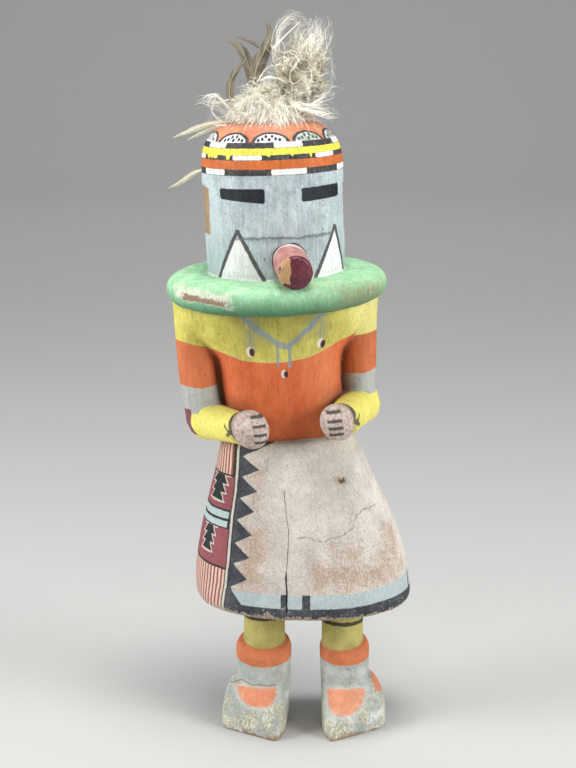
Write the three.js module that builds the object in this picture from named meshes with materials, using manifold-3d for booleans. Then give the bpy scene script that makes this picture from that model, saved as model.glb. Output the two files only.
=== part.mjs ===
// A carved and painted cottonwood doll: a masked figure with a wide ruff, bent arms, a flared kilt and boots,
// all in one block, with a peg snout in the mask and a tuft of down and feathers set in the crown.
// Millimetres, +Z up, the figure faces -Y. The frame's origin is under the middle of the whole object's box.
import * as THREE from "three";
import { mergeVertices } from "three/addons/utils/BufferGeometryUtils.js";
import Module from "manifold-3d";

// ---- driving dimensions ----
const FEET_X = 5.99; // the feet stand right of the middle of the box, because the block leans to the left
const FEET_Y = 0.11; // and a touch behind it
const GAP = 0.35; // clearance between pieces that touch

const HEAD = { bottom: 206, chin: 30.2, brow: 31.2, wallTop: 258, top: 282, domePower: 3.1 };
const EAR_FLAT = { depth: 1.0, low: 229, high: 252.5 }; // a flat pared on each side of the mask
const RUFF = { radius: 49.2, low: 202.2, high: 215.4, rim: 6.4, pitch: THREE.MathUtils.degToRad(1.4) };
const SNOUT = { x: 2.2, z: 222.9, radius: 7.4, length: 19, bevel: 1.6, droop: THREE.MathUtils.degToRad(9) };
const SOCKET = 5; // how deep the snout sits in the mask
const LEG = { x: 18.2, radius: 9.6, low: 34, high: 70 };
const BOOT = { low: 4, cuffTop: 41.6, rise: 0.2, lip: 3.2 }; // the cuff's rim rises from front to back

// What differs between the viewer's left and right arm: how far out the shoulder is and how high the elbow.
const LEFT_ARM = { out: 1, girth: 1.05, elbow: 149.6, hand: 1 };
const RIGHT_ARM = { out: 0, girth: 1, elbow: 151.8, hand: 0.93 };
// And the two boots: where they stand, and how far the inner side is pared back at the toe and the heel.
const LEFT_BOOT = { x: 18.5, radius: 13.0, toe: 0.3, heel: 0 };
const RIGHT_BOOT = { x: 19.2, radius: 11.6, toe: -0.9, heel: 2 };

// Sections of the trunk, bottom to top: height, half width, half depth.
const TRUNK_POWER = 2.15; // a touch squarer than an ellipse
const KILT = [
  [62.4, 46.2, 34.9],
  [64.0, 48.4, 37.0],
  [67.5, 49.5, 38.1],
  [78.0, 49.0, 37.6],
  [87.0, 47.3, 36.2],
  [100.0, 43.8, 33.5],
  [112.0, 39.7, 30.6],
  [124.0, 35.4, 27.3],
  [134.0, 31.9, 24.4],
  [139.4, 29.8, 22.5],
  [140.8, 28.6, 21.3],
];
const TRUNK = [
  [134.0, 26.5, 19.0],
  [150.0, 27.4, 20.2],
  [168.0, 27.9, 21.4],
  [178.0, 29.4, 22.2],
  [184.0, 34.5, 22.6],
  [190.0, 41.2, 22.9],
  [197.0, 45.0, 23.2],
  [206.0, 45.0, 23.4],
];
// The arm at +X: its shoulder, elbow and wrist, and its half width and half depth there.
const SHOULDER = { at: [37.4, 0.5, 206], girth: [8.2, 10.2] };
const ELBOW = { at: [35.0, -1.6, 150], girth: [8.3, 8.9] };
const WRIST = { at: [22.4, -29.0, 151], girth: [7.0, 7.2] };
const HAND = { x: 18.9, y: -34.6, z: 151.6, rx: 8.3, ry: 7.6, rz: 8.7 };

// How the block leans and winds with its height: height, shift in X, tilt and turn in degrees.
const LEAN = [
  [0, 0, 0, 0],
  [50, 0, 0, 0],
  [66, 0, -0.8, 1],
  [100, -2.3, 0, 4],
  [136, -7.0, 2.2, 7.4],
  [165, -10.8, 3.4, 8],
  [209, -12.2, 2.0, 8],
  [285, -15.2, 1.8, 8],
];

// Sections of the foot at +X from toe to heel: middle Y, slant, inner X, outer X and height.
const FOOT = [
  [-17.2, 0.65, -5.6, 18.3, 4.6],
  [-15.2, 0.62, -6.8, 19.0, 11.0],
  [-11.8, 0.5, -8.6, 19.5, 17.6],
  [-6.0, 0.25, -10.4, 19.6, 23.2],
  [0.0, 0.08, -11.2, 19.2, 25.0],
  [8.0, 0.0, -11.2, 17.8, 24.0],
  [14.0, 0.0, -9.8, 15.2, 20.0],
  [18.6, 0.0, -3.5, 8.5, 11.0],
];

// The bundle of down: the middles and half sizes of its lumps.
const TUFT_LUMPS = [
  { at: [-14.6, 0, 286], size: [22, 18, 9.5] },
  { at: [-4.5, 0, 300], size: [15, 13.5, 15] },
  { at: [-1.5, 0, 312], size: [12, 10.5, 12.5] },
];

// The feathers: the half width at the widest, and the line from the root to the tip.
const FEATHERS = {
  feather_low: [1.5, [-31.5, 3, 288], [-32.6, 4, 294], [-30.6, 4.5, 301], [-26, 5, 307.7]],
  feather_curl: [2.2, [-21.5, 6, 296], [-23.9, 7, 305], [-25.5, 7.5, 311], [-28.4, 8, 316], [-33.9, 8, 319]],
  feather_tall: [2.1, [-22, 2, 293], [-20.4, 2, 306], [-16.6, 2, 314], [-15.3, 2, 320], [-17.3, 2, 326]],
  feather_thin: [0.8, [-12.5, 9, 310], [-19.5, 11.5, 314.5], [-24, 12, 317.2], [-30.2, 12, 319.6]],
  plume_crown: [2.3, [-32, -4, 279.6], [-40, -4, 280.4], [-48, -3, 278], [-57, -2, 274.4]],
  plume_side: [1.5, [-43.5, 12, 259], [-50, 13, 256], [-55, 13.5, 252.5], [-60, 14, 251]],
};
const BLADE_THICKNESS = 0.7;

const COLOUR = { figure: "#b9a79a", snout: "#8a3f4c", down: "#d9cdb5", feather: "#8c8073", plume: "#d8cfb4" };

// ---- small tools ----
const wasm = await Module();
wasm.setup();

/** The rows' values at height t, on a smooth line through them. The first column is the height. */
function between(rows, t) {
  const last = rows.length - 1;
  const clamped = THREE.MathUtils.clamp(t, rows[0][0], rows[last][0]);
  const i = Math.min(last - 1, Math.max(0, rows.findIndex((row) => row[0] >= clamped) - 1));
  const step = rows[i + 1][0] - rows[i][0];
  const u = (clamped - rows[i][0]) / step;
  const slope = (k, column) => {
    const a = rows[Math.max(0, k - 1)];
    const b = rows[Math.min(last, k + 1)];
    return (b[column] - a[column]) / (b[0] - a[0]);
  };
  return rows[0].slice(1).map((_, c) => {
    const column = c + 1;
    const [p0, p1] = [rows[i][column], rows[i + 1][column]];
    const [m0, m1] = [slope(i, column) * step, slope(i + 1, column) * step];
    const [u2, u3] = [u * u, u * u * u];
    return (2 * u3 - 3 * u2 + 1) * p0 + (u3 - 2 * u2 + u) * m0 + (3 * u2 - 2 * u3) * p1 + (u3 - u2) * m1;
  });
}

/** A closed solid through rings of points, each with the same count and turning the same way. */
function loft(rings) {
  const count = rings[0].length;
  const middle = (ring) => ring.reduce((sum, p) => sum.add(p), new THREE.Vector3()).divideScalar(count);
  const points = [...rings.flat(), middle(rings[0]), middle(rings.at(-1))];
  const [first, last] = [points.length - 2, points.length - 1];
  const faces = [];
  for (let r = 0; r + 1 < rings.length; r++)
    for (let i = 0; i < count; i++) {
      const [a, b] = [r * count + i, r * count + ((i + 1) % count)];
      faces.push(a, b, b + count, a, b + count, a + count);
    }
  const top = (rings.length - 1) * count;
  for (let i = 0; i < count; i++) {
    faces.push(first, (i + 1) % count, i);
    faces.push(last, top + i, top + ((i + 1) % count));
  }
  const geometry = new THREE.BufferGeometry().setFromPoints(points);
  geometry.setIndex(faces);
  return geometry;
}

/** Turns a mirrored geometry's faces the right way out again. */
function flip(geometry) {
  const index = geometry.index.array;
  for (let i = 0; i < index.length; i += 3) [index[i], index[i + 1]] = [index[i + 1], index[i]];
  return geometry;
}

/** A point of a superellipse, power 2 being an ellipse and more being squarer. */
function squircle(angle, a, b, power) {
  const [c, s] = [Math.cos(angle), Math.sin(angle)];
  const round = (v) => Math.sign(v) * Math.abs(v) ** (2 / power);
  return [a * round(c), b * round(s)];
}

/** A level ring round the Z axis. */
function levelRing(z, a, b, power, count) {
  return Array.from({ length: count }, (_, i) => {
    const [x, y] = squircle((i / count) * 2 * Math.PI, a, b, power);
    return new THREE.Vector3(x, y, z);
  });
}

/**
 * A rounded bar along a line. The girth rows give half width and half depth by the share of the line, and the
 * depth lies as near to the Y axis as the line allows.
 */
function bar(line, girth, steps, count, power = 2) {
  const curve = new THREE.CatmullRomCurve3(line.map((p) => new THREE.Vector3(...p)));
  const rings = Array.from({ length: steps + 1 }, (_, k) => {
    const [a, b] = between(girth, k / steps);
    const centre = curve.getPointAt(k / steps);
    const along = curve.getTangentAt(k / steps);
    const deep = new THREE.Vector3(0, 1, 0).addScaledVector(along, -along.y).normalize();
    const wide = new THREE.Vector3().crossVectors(deep, along);
    return Array.from({ length: count }, (_, i) => {
      const [x, y] = squircle((i / count) * 2 * Math.PI, a, b, power);
      return centre.clone().addScaledVector(wide, x).addScaledVector(deep, y);
    });
  });
  return loft(rings);
}

/** A geometry as a manifold-3d solid. */
function solid(geometry) {
  const bare = geometry.index ? geometry.toNonIndexed() : geometry.clone();
  bare.deleteAttribute("normal");
  bare.deleteAttribute("uv");
  const merged = mergeVertices(bare, 1e-4);
  const mesh = new wasm.Mesh({
    numProp: 3,
    vertProperties: new Float32Array(merged.attributes.position.array),
    triVerts: new Uint32Array(merged.index.array),
  });
  return new wasm.Manifold(mesh);
}

/** A manifold-3d solid as a geometry. */
function geometryOf(made) {
  const { vertProperties, triVerts, numProp } = made.getMesh();
  const position = new Float32Array((vertProperties.length / numProp) * 3);
  for (let i = 0; i < position.length / 3; i++)
    position.set(vertProperties.subarray(i * numProp, i * numProp + 3), i * 3);
  const geometry = new THREE.BufferGeometry();
  geometry.setAttribute("position", new THREE.BufferAttribute(position, 3));
  geometry.setIndex(new THREE.BufferAttribute(new Uint32Array(triVerts), 1));
  return geometry;
}

/** Carries a geometry from the straight block to the leaning, winding one. */
function settle(geometry) {
  const position = geometry.attributes.position;
  for (let i = 0; i < position.count; i++) {
    const [x, y, z] = [position.getX(i), position.getY(i), position.getZ(i)];
    const [shift, tilt, turn] = between(LEAN, z);
    const angle = THREE.MathUtils.degToRad(turn);
    const across = x * Math.cos(angle) - y * Math.sin(angle);
    const along = x * Math.sin(angle) + y * Math.cos(angle);
    position.setXYZ(i, across + shift, along, z + across * Math.tan(THREE.MathUtils.degToRad(tilt)));
  }
  return geometry;
}

// ---- the carved block ----

/** The mask: a drum with a domed crown, grown by extra all round where another piece is cut back from it. */
function headShape(extra = 0) {
  const { bottom, chin, brow, wallTop, top, domePower } = HEAD;
  const profile = [new THREE.Vector2(0, bottom), new THREE.Vector2(chin + extra, bottom)];
  const wallSteps = 3;
  for (let i = 1; i <= wallSteps; i++) {
    const share = i / wallSteps;
    const radius = THREE.MathUtils.lerp(chin, brow, Math.sin((share * Math.PI) / 2));
    profile.push(new THREE.Vector2(radius + extra, THREE.MathUtils.lerp(bottom, wallTop, share)));
  }
  const domeSteps = 8;
  for (let i = 1; i < domeSteps; i++) {
    const [r, h] = squircle((i / domeSteps) * (Math.PI / 2), brow + extra, top - wallTop + extra, domePower);
    profile.push(new THREE.Vector2(r, wallTop + h));
  }
  profile.push(new THREE.Vector2(0, top + extra));
  return new THREE.LatheGeometry(profile, 44).rotateX(Math.PI / 2);
}

/** The mask with the two flats pared on its sides. */
function head() {
  const { depth, low, high } = EAR_FLAT;
  return [-1, 1].reduce((rest, side) => {
    const slab = new THREE.BoxGeometry(2 * depth, 2 * HEAD.brow, high - low);
    return rest.subtract(solid(slab.translate(side * HEAD.brow, 0, (low + high) / 2)));
  }, solid(headShape()));
}

/** The ruff: a thick disc with a round rim, pitched a little forward. */
function ruff() {
  const { radius, low, high, rim, pitch } = RUFF;
  const half = (high - low) / 2;
  const profile = [new THREE.Vector2(0, low)];
  const rimSteps = 8;
  for (let i = 0; i <= rimSteps; i++) {
    const [r, h] = squircle(-Math.PI / 2 + (i / rimSteps) * Math.PI, rim * 1.5, half, 2.1);
    profile.push(new THREE.Vector2(radius - rim * 1.5 + r, (low + high) / 2 + h));
  }
  profile.push(new THREE.Vector2(0, high));
  const middle = (low + high) / 2;
  const disc = new THREE.LatheGeometry(profile, 44).rotateX(Math.PI / 2);
  return solid(disc.translate(0, 0, -middle).rotateX(pitch).translate(0, 0, middle));
}

/** A part of the trunk: level sections evenly spaced, and its lowest ones as they are listed. */
function stack(rows, steps, count) {
  const [low, high] = [rows[0][0], rows.at(-1)[0]];
  const heights = Array.from({ length: steps + 1 }, (_, i) => THREE.MathUtils.lerp(low, high, i / steps));
  const all = [...new Set([...heights, ...rows.slice(0, 3).map(([z]) => z)])].sort((p, q) => p - q);
  return solid(loft(all.map((z) => levelRing(z, ...between(rows, z), TRUNK_POWER, count))));
}

/** Geometries made at +X, carried to the side that sign gives and joined to one solid. */
function onSide(sign, geometries) {
  return geometries
    .map((geometry) => solid(sign > 0 ? geometry : flip(geometry.scale(-1, 1, 1))))
    .reduce((whole, piece) => whole.add(piece));
}

/** An arm: a bar down to the elbow, a ball there, a bar forward to the wrist and a mitt on the belly. */
function arm(sign, { out, girth, elbow, hand }) {
  const thick = (joint) => joint.girth.map((half) => half * girth);
  const shoulder = [SHOULDER.at[0] + out, SHOULDER.at[1], SHOULDER.at[2]];
  const bend = [ELBOW.at[0] + out / 2, ELBOW.at[1], elbow];
  const upper = bar([shoulder, bend], [[0, ...thick(SHOULDER)], [1, ...thick(ELBOW)]], 3, 16);
  const fore = bar([bend, WRIST.at], [[0, ...thick(ELBOW)], [1, ...thick(WRIST)]], 2, 16);
  const ball = new THREE.SphereGeometry(1, 14, 9).scale(...thick(ELBOW), ELBOW.girth[0] * girth);
  const mitt = new THREE.SphereGeometry(hand, 16, 10).scale(HAND.rx, HAND.ry, HAND.rz);
  return onSide(sign, [upper, fore, ball.translate(...bend), mitt.translate(HAND.x, HAND.y, HAND.z)]);
}

/** A boot's shaft, with a rounded cuff whose rim rises to the back. */
function shaft(radius) {
  const { low, cuffTop, rise, lip } = BOOT;
  const rows = [
    [low, 0, radius * 0.88],
    [cuffTop - 12, 0, radius * 0.98],
    [cuffTop - 4, rise, radius],
    [cuffTop - 1.4, rise, radius - lip * 0.35],
    [cuffTop, rise, radius - lip],
  ];
  return loft(rows.map(([z, slope, r]) => levelRing(z, r, r, 2, 24).map((p) => p.setZ(z + slope * p.y))));
}

/** A boot's foot: upright arches from the heel to a toe cut off aslant, on a flat sole. */
function foot(toe, heel) {
  const [sections, arch] = [11, 12];
  const [toeY, heelY] = [FOOT[0][0], FOOT.at(-1)[0]];
  const rings = Array.from({ length: sections }, (_, k) => {
    const share = (1 + Math.cos((k / (sections - 1)) * Math.PI)) / 2;
    const y = THREE.MathUtils.lerp(toeY, heelY, share);
    const [slant, inside, outside, height] = between(FOOT, y);
    const inner = inside + THREE.MathUtils.lerp(toe, heel, share);
    return Array.from({ length: arch + 1 }, (_, i) => {
      const [across, up] = squircle((i / arch) * Math.PI, (outside - inner) / 2, height, 2.9);
      return new THREE.Vector3((inner + outside) / 2 + across, y + slant * across, up);
    });
  });
  return loft(rings);
}

/** A leg and its boot. */
function leg(sign, { x, radius, toe, heel }) {
  const length = LEG.high - LEG.low;
  const shin = new THREE.CylinderGeometry(LEG.radius, LEG.radius, length, 24).rotateX(Math.PI / 2);
  shin.translate(LEG.x, 0, (LEG.low + LEG.high) / 2);
  return onSide(sign, [shin, shaft(radius).translate(x, 0, 0), foot(toe, heel).translate(x, 0, 0)]);
}

/** The whole block, with the socket for the snout. */
function figure() {
  return head()
    .add(ruff())
    .add(stack(TRUNK, 7, 36))
    .add(stack(KILT, 8, 40))
    .add(arm(-1, LEFT_ARM))
    .add(arm(1, RIGHT_ARM))
    .add(leg(-1, LEFT_BOOT))
    .add(leg(1, RIGHT_BOOT))
    .subtract(snoutPeg(GAP));
}

/** The snout: a bevelled peg that sits in a shallow socket in the mask. */
function snoutPeg(extra = 0) {
  const { x, z, radius, length, bevel, droop } = SNOUT;
  const front = HEAD.brow - 1 + length;
  const back = HEAD.brow - 1 - SOCKET - extra;
  const profile = [
    [0, back],
    [radius + extra, back],
    [radius + extra, front - bevel + extra],
    [radius - bevel * 0.4 + extra, front - bevel * 0.4 + extra],
    [radius - bevel + extra, front + extra],
    [0, front + 0.4 + extra],
  ].map(([r, h]) => new THREE.Vector2(r, h));
  const peg = new THREE.LatheGeometry(profile, 28).rotateX(Math.PI);
  const root = HEAD.brow;
  return solid(peg.translate(0, root, 0).rotateX(droop).translate(x, -root, z));
}

// ---- the tuft and the feathers ----

/** The bundle of down on the crown, grown by extra: a low mound with a tall lock at its right. */
function tuftShape(extra = 0) {
  return TUFT_LUMPS.map(({ at, size }) => {
    const lump = new THREE.SphereGeometry(1, 16, 9).scale(...size.map((r) => r + extra));
    return solid(lump.translate(...at));
  }).reduce((whole, lump) => whole.add(lump));
}

/** A feather: a thin blade along a line, widest a little past its middle. */
function feather(width, line) {
  const girth = [
    [0, width * 0.3, BLADE_THICKNESS * 0.6],
    [0.55, width, BLADE_THICKNESS],
    [1, width * 0.12, BLADE_THICKNESS * 0.4],
  ];
  return solid(bar(line, girth, 10, 8));
}

// ---- the assembly ----

function mesh(name, geometry, color, roughness) {
  geometry.computeVertexNormals();
  const node = new THREE.Mesh(geometry, new THREE.MeshStandardMaterial({ color, roughness, metalness: 0 }));
  node.name = name;
  return node;
}

const crown = solid(settle(headShape(GAP)));
const doll = new THREE.Group();
doll.position.set(FEET_X, FEET_Y, 0);
doll.add(mesh("figure", settle(geometryOf(figure())), COLOUR.figure, 0.8));
doll.add(mesh("snout", settle(geometryOf(snoutPeg())), COLOUR.snout, 0.5));
doll.add(mesh("down_tuft", geometryOf(tuftShape().subtract(crown)), COLOUR.down, 1));
const cleared = tuftShape(GAP).add(crown);
for (const [name, [width, ...line]] of Object.entries(FEATHERS)) {
  const color = name.startsWith("plume") ? COLOUR.plume : COLOUR.feather;
  doll.add(mesh(name, geometryOf(feather(width, line).subtract(cleared)), color, 0.9));
}
export default doll;
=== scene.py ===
"""The carved doll's looks: one carved and painted block, a peg snout, a bundle of down and its feathers.

The block and the snout are built straight, in millimetres, as the block was before it leaned, and settle()
bends them to the frame. The straight coordinates stay on the meshes as attributes, and the painted patterns are
drawn in them. The down and the feathers are built where they stand.
"""

import math

import bpy
import numpy as np
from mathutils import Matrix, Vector


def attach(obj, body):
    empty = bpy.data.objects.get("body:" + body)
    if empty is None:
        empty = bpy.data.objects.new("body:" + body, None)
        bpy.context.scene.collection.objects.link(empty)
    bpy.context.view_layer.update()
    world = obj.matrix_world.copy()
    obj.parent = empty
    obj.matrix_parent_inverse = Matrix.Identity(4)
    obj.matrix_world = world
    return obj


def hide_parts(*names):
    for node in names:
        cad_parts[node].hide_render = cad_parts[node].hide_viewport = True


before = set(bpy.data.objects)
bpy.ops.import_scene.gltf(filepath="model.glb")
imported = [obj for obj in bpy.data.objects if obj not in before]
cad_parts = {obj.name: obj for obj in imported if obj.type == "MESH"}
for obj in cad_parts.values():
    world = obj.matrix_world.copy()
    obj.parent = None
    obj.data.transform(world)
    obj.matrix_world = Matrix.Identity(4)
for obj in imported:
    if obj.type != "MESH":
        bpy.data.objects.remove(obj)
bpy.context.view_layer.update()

FEET = np.array([5.99, 0.11, 0.0])  # the block stands right of the middle of the object's box
GRID = 1.06  # the spacing of the carved block's mesh, in millimetres
MM_PER_DEGREE = 0.541  # along the mask's wall
CHEST_MM_PER_DEGREE = 0.42
MASK_FOOT, DOME_FOOT, MASK_RADIUS, DOME_RISE, DOME_POWER = 206, 258, 31.2, 24, 3.1
PARTS = ("head", "ruff", "trunk", "arm", "kilt", "leg")

# The same sizes as the CAD part: height, half width and half depth of the trunk and the kilt.
KILT = [[62.4, 46.2, 34.9], [64, 48.4, 37], [67.5, 49.5, 38.1], [78, 49, 37.6], [87, 47.3, 36.2], [100, 43.8, 33.5],
        [112, 39.7, 30.6], [124, 35.4, 27.3], [134, 31.9, 24.4], [139.4, 29.8, 22.5], [140.8, 28.6, 21.3]]
TRUNK = [[134, 26.5, 19], [150, 27.4, 20.2], [168, 27.9, 21.4], [178, 29.4, 22.2], [184, 34.5, 22.6],
         [190, 41.2, 22.9], [197, 45, 23.2], [206, 45, 23.4]]
# How the block leans: height, then the shift to the right, and the tilt and the turn in degrees.
LEAN = [[0, 0, 0, 0], [50, 0, 0, 0], [66, 0, -0.8, 1], [100, -2.3, 0, 4], [136, -7, 2.2, 7.4], [165, -10.8, 3.4, 8],
        [209, -12.2, 2, 8], [285, -15.2, 1.8, 8]]
# A foot from toe to heel: how far back, the section's slant, its inner and outer edge, and its height.
FOOT = [[-17.2, 0.65, -5.6, 18.3, 4.6], [-15.2, 0.62, -6.8, 19, 11], [-11.8, 0.5, -8.6, 19.5, 17.6],
        [-6, 0.25, -10.4, 19.6, 23.2], [0, 0.08, -11.2, 19.2, 25], [8, 0, -11.2, 17.8, 24],
        [14, 0, -9.8, 15.2, 20], [18.6, 0, -3.5, 8.5, 11]]
ARMS = {-1: dict(out=1, girth=1.05, elbow=149.6, hand=1), 1: dict(out=0, girth=1, elbow=151.8, hand=0.93)}
BOOTS = {-1: dict(x=18.5, radius=13.0, toe=0.3, heel=0), 1: dict(x=19.2, radius=11.6, toe=-0.9, heel=2)}


# ---- numbers ----
def between(rows, t):
    """The rows' values at t, on a smooth line through them; the first column is the height."""
    rows = np.asarray(rows, float)
    at, last = rows[:, 0], len(rows) - 1
    t = np.clip(t, at[0], at[-1])
    i = np.clip(np.searchsorted(at, t, side="left") - 1, 0, last - 1)
    before, after = np.maximum(np.arange(last + 1) - 1, 0), np.minimum(np.arange(last + 1) + 1, last)
    slope = (rows[after] - rows[before]) / (at[after] - at[before])[:, None]
    step = at[i + 1] - at[i]
    u = (t - at[i]) / step
    a, b, c, d = 2 * u**3 - 3 * u**2 + 1, u**3 - 2 * u**2 + u, 3 * u**2 - 2 * u**3, u**3 - u**2
    return [a * rows[i, k] + b * step * slope[i, k] + c * rows[i + 1, k] + d * step * slope[i + 1, k]
            for k in range(1, rows.shape[1])]


def settle(p):
    """Straight coordinates to the frame's, both in millimetres."""
    shift, tilt, turn = between(LEAN, p[:, 2])
    angle = np.radians(turn)
    across = p[:, 0] * np.cos(angle) - p[:, 1] * np.sin(angle)
    along = p[:, 0] * np.sin(angle) + p[:, 1] * np.cos(angle)
    return np.stack([across + shift, along, p[:, 2] + across * np.tan(np.radians(tilt))], 1) + FEET


def smin(a, b, k):
    h = np.clip(0.5 + 0.5 * (b - a) / k, 0, 1)
    return b + (a - b) * h - k * h * (1 - h)


def smax(a, b, k):
    return -smin(-a, -b, k)


def value_noise(p, size, seed=0):
    """Smooth noise from -1 to 1 at points p, with lumps about size across."""
    q = p / size + seed * 17.31
    cell = np.floor(q).astype(np.int64)
    f = q - cell
    f = f * f * (3 - 2 * f)
    total = 0
    for corner in range(8):
        o = np.array([corner & 1, corner >> 1 & 1, corner >> 2 & 1])
        c = cell + o
        h = (c[:, 0] * 73856093) ^ (c[:, 1] * 19349663) ^ (c[:, 2] * 83492791) ^ (seed * 2654435761)
        h = ((h ^ (h >> 13)) * 1274126177) & 0xFFFFFF
        w = np.prod(np.where(o, f, 1 - f), 1)
        total = total + w * (h / 8388607.5 - 1)
    return total


# ---- the carved block, as distances from its surface ----
def round_section(x, y, a, b, power=2.0):
    g = ((np.abs(x) / a) ** power + (np.abs(y) / b) ** power) ** (1 / power) + 1e-4
    r = np.hypot(x, y) + 1e-4 * np.minimum(a, b)
    return r - r / g


def head(x, y, z):
    r = np.hypot(x, y)
    wall = r - (30.2 + np.sin(np.clip((z - MASK_FOOT) / (DOME_FOOT - MASK_FOOT), 0, 1) * math.pi / 2))
    up = np.maximum(z - DOME_FOOT, 0) * MASK_RADIUS / DOME_RISE
    dome = round_section(r, up, MASK_RADIUS, MASK_RADIUS, DOME_POWER)
    f = smax(np.where(z > DOME_FOOT, dome, wall), MASK_FOOT - z, 0.5)
    flat = np.minimum(np.minimum(np.abs(x) - 30.25, 254.6 - z), z - 233.8)
    return smax(f, flat, 0.3)


def ruff(x, y, z):
    pitch, m = math.radians(1.4), 208.8
    u = y * math.cos(pitch) + (z - m) * math.sin(pitch)
    v = -y * math.sin(pitch) + (z - m) * math.cos(pitch)
    return round_section(np.maximum(np.hypot(x, u) - 39.6, 0), v * 9.6 / 6.6, 9.6, 9.6, 2.1) * 0.8


def trunk(x, y, z):
    a, b = between(TRUNK, z)
    return smax(round_section(x, y, a, b, 2.15), np.maximum(z - 206, 134 - z), 0.5)


def kilt(x, y, z):
    a, b = between(KILT, z)
    return smax(round_section(x, y, a, b, 2.15), np.maximum(z - 140.8, 62.4 - z), 0.8)


def bar(x, y, z, start, end, first, second):
    start, end = np.array(start, float), np.array(end, float)
    length = np.linalg.norm(end - start)
    along = (end - start) / length
    deep = np.array([0, 1, 0]) - along * along[1]
    deep /= np.linalg.norm(deep)
    wide = np.cross(deep, along)
    q = [x - start[0], y - start[1], z - start[2]]
    t, u, v = (sum(c * w for c, w in zip(q, axis)) for axis in (along, wide, deep))
    s = np.clip(t / length, 0, 1)
    f = round_section(u, v, first[0] + (second[0] - first[0]) * s, first[1] + (second[1] - first[1]) * s)
    return np.maximum(f, np.maximum(-t, t - length))


def ball(x, y, z, at, size):
    p = [(c - m) / s for c, m, s in zip((x, y, z), at, size)]
    g = np.sqrt(sum(c * c for c in p)) + 1e-4
    r = np.sqrt((x - at[0]) ** 2 + (y - at[1]) ** 2 + (z - at[2]) ** 2) + 1e-4 * min(size)
    return r - r / g


def arm(side):
    k = ARMS[side]
    g = k["girth"]
    shoulder, bend, wrist = [37.4 + k["out"], 0.5, 206], [35 + k["out"] / 2, -1.6, k["elbow"]], [22.4, -29, 151]

    def shape(x, y, z):
        x = x * side
        f = smin(bar(x, y, z, shoulder, bend, (8.2 * g, 10.2 * g), (8.3 * g, 8.9 * g)),
                 ball(x, y, z, bend, (8.3 * g, 8.9 * g, 8.3 * g)), 1.5)
        f = smin(f, bar(x, y, z, bend, wrist, (8.3 * g, 8.9 * g), (7, 7.2)), 2)
        h = k["hand"]
        return smin(f, ball(x, y, z, (18.9, -34.6, 151.6), (8.0 * h, 7.6 * h, 8.7 * h)), 4.5)

    return shape


def leg(side):
    k = BOOTS[side]

    def shape(x, y, z):
        x = x * side
        shin = np.maximum(np.hypot(x - 18.2, y) - 9.6, np.maximum(z - 70, 34 - z))
        low = z
        for _ in range(3):
            low = z - np.interp(low, [4, 29.6, 37.6, 41.6], [0, 0, 0.2, 0.2]) * y
        r = np.interp(low, [4, 29.6, 37.6, 40.2, 41.6], k["radius"] + np.array([0, 0, 0, -1.12, -3.2])) * np.interp(
            low, [4, 29.6, 37.6], [0.88, 0.98, 1])
        shaft = smax(np.hypot(x - k["x"], y) - r, np.maximum(low - 41.6, 4 - z), 0.6)
        out, at = x - k["x"], y
        for _ in range(8):
            slant, inside, outside, height = between(FOOT, at)
            inside = inside + k["toe"] + (k["heel"] - k["toe"]) * np.clip((at + 17.2) / 35.8, 0, 1)
            across = out - (inside + outside) / 2
            at = at + 0.6 * (y - slant * across - at)
        f = round_section(across, np.maximum(z, 0), (outside - inside) / 2, height, 2.9)
        foot = smax(f, np.maximum(np.maximum(-17.2 - at, at - 18.6) * 0.85, -z), 0.7)
        return smin(smin(shin, shaft, 0.4), foot, 1.2)

    return shape


SHAPES = [  # lowest and highest corner, how softly it runs into what is there, distance, part
    ((-36, -36, 203), (36, 36, 285), 0.6, head, "head"),
    ((-53, -53, 198), (53, 53, 220), 0.8, ruff, "ruff"),
    ((-49, -28, 131), (49, 28, 206), 0.8, trunk, "trunk"),
    ((-53, -42, 59), (53, 42, 144), 0.7, kilt, "kilt"),
    ((-51, -46, 137), (-8, 15, 206), 1.3, arm(-1), "arm"),
    ((8, -46, 137), (51, 15, 206), 1.3, arm(1), "arm"),
    ((-44, -34, -3), (-3, 24, 66), 1.0, leg(-1), "leg"),
    ((3, -34, -3), (44, 24, 66), 1.0, leg(1), "leg"),
]
SNOUT = dict(x=2.2, z=222.9, radius=7.4, back=25.2, droop=math.radians(9))


def snout_axes(x, y, z):
    """How far a point is along the snout's peg, and across it."""
    x, y, z = x - SNOUT["x"], y + MASK_RADIUS, z - SNOUT["z"]
    c, s = math.cos(SNOUT["droop"]), math.sin(SNOUT["droop"])
    return x, -(y * c + z * s) + MASK_RADIUS, -y * s + z * c


def distance(x, y, z, only=None):
    """How far outside the block's surface a point is, roughly; below zero inside."""
    f = np.full(x.shape, 6.0)
    for lo, hi, k, shape, part in SHAPES:
        if only and part not in only:
            continue
        near = (x > lo[0]) & (x < hi[0]) & (y > lo[1]) & (y < hi[1]) & (z > lo[2]) & (z < hi[2])
        if near.any():
            f[near] = smin(f[near], shape(x[near], y[near], z[near]), k)
    if not only:
        near = (np.abs(x) < 12) & (y < -22) & (z > 210) & (z < 236)
        if near.any():
            across, along, up = snout_axes(x[near], y[near], z[near])
            f[near] = np.maximum(f[near], np.minimum(7.25 - np.hypot(across, up), along - 25))
    return f


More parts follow.
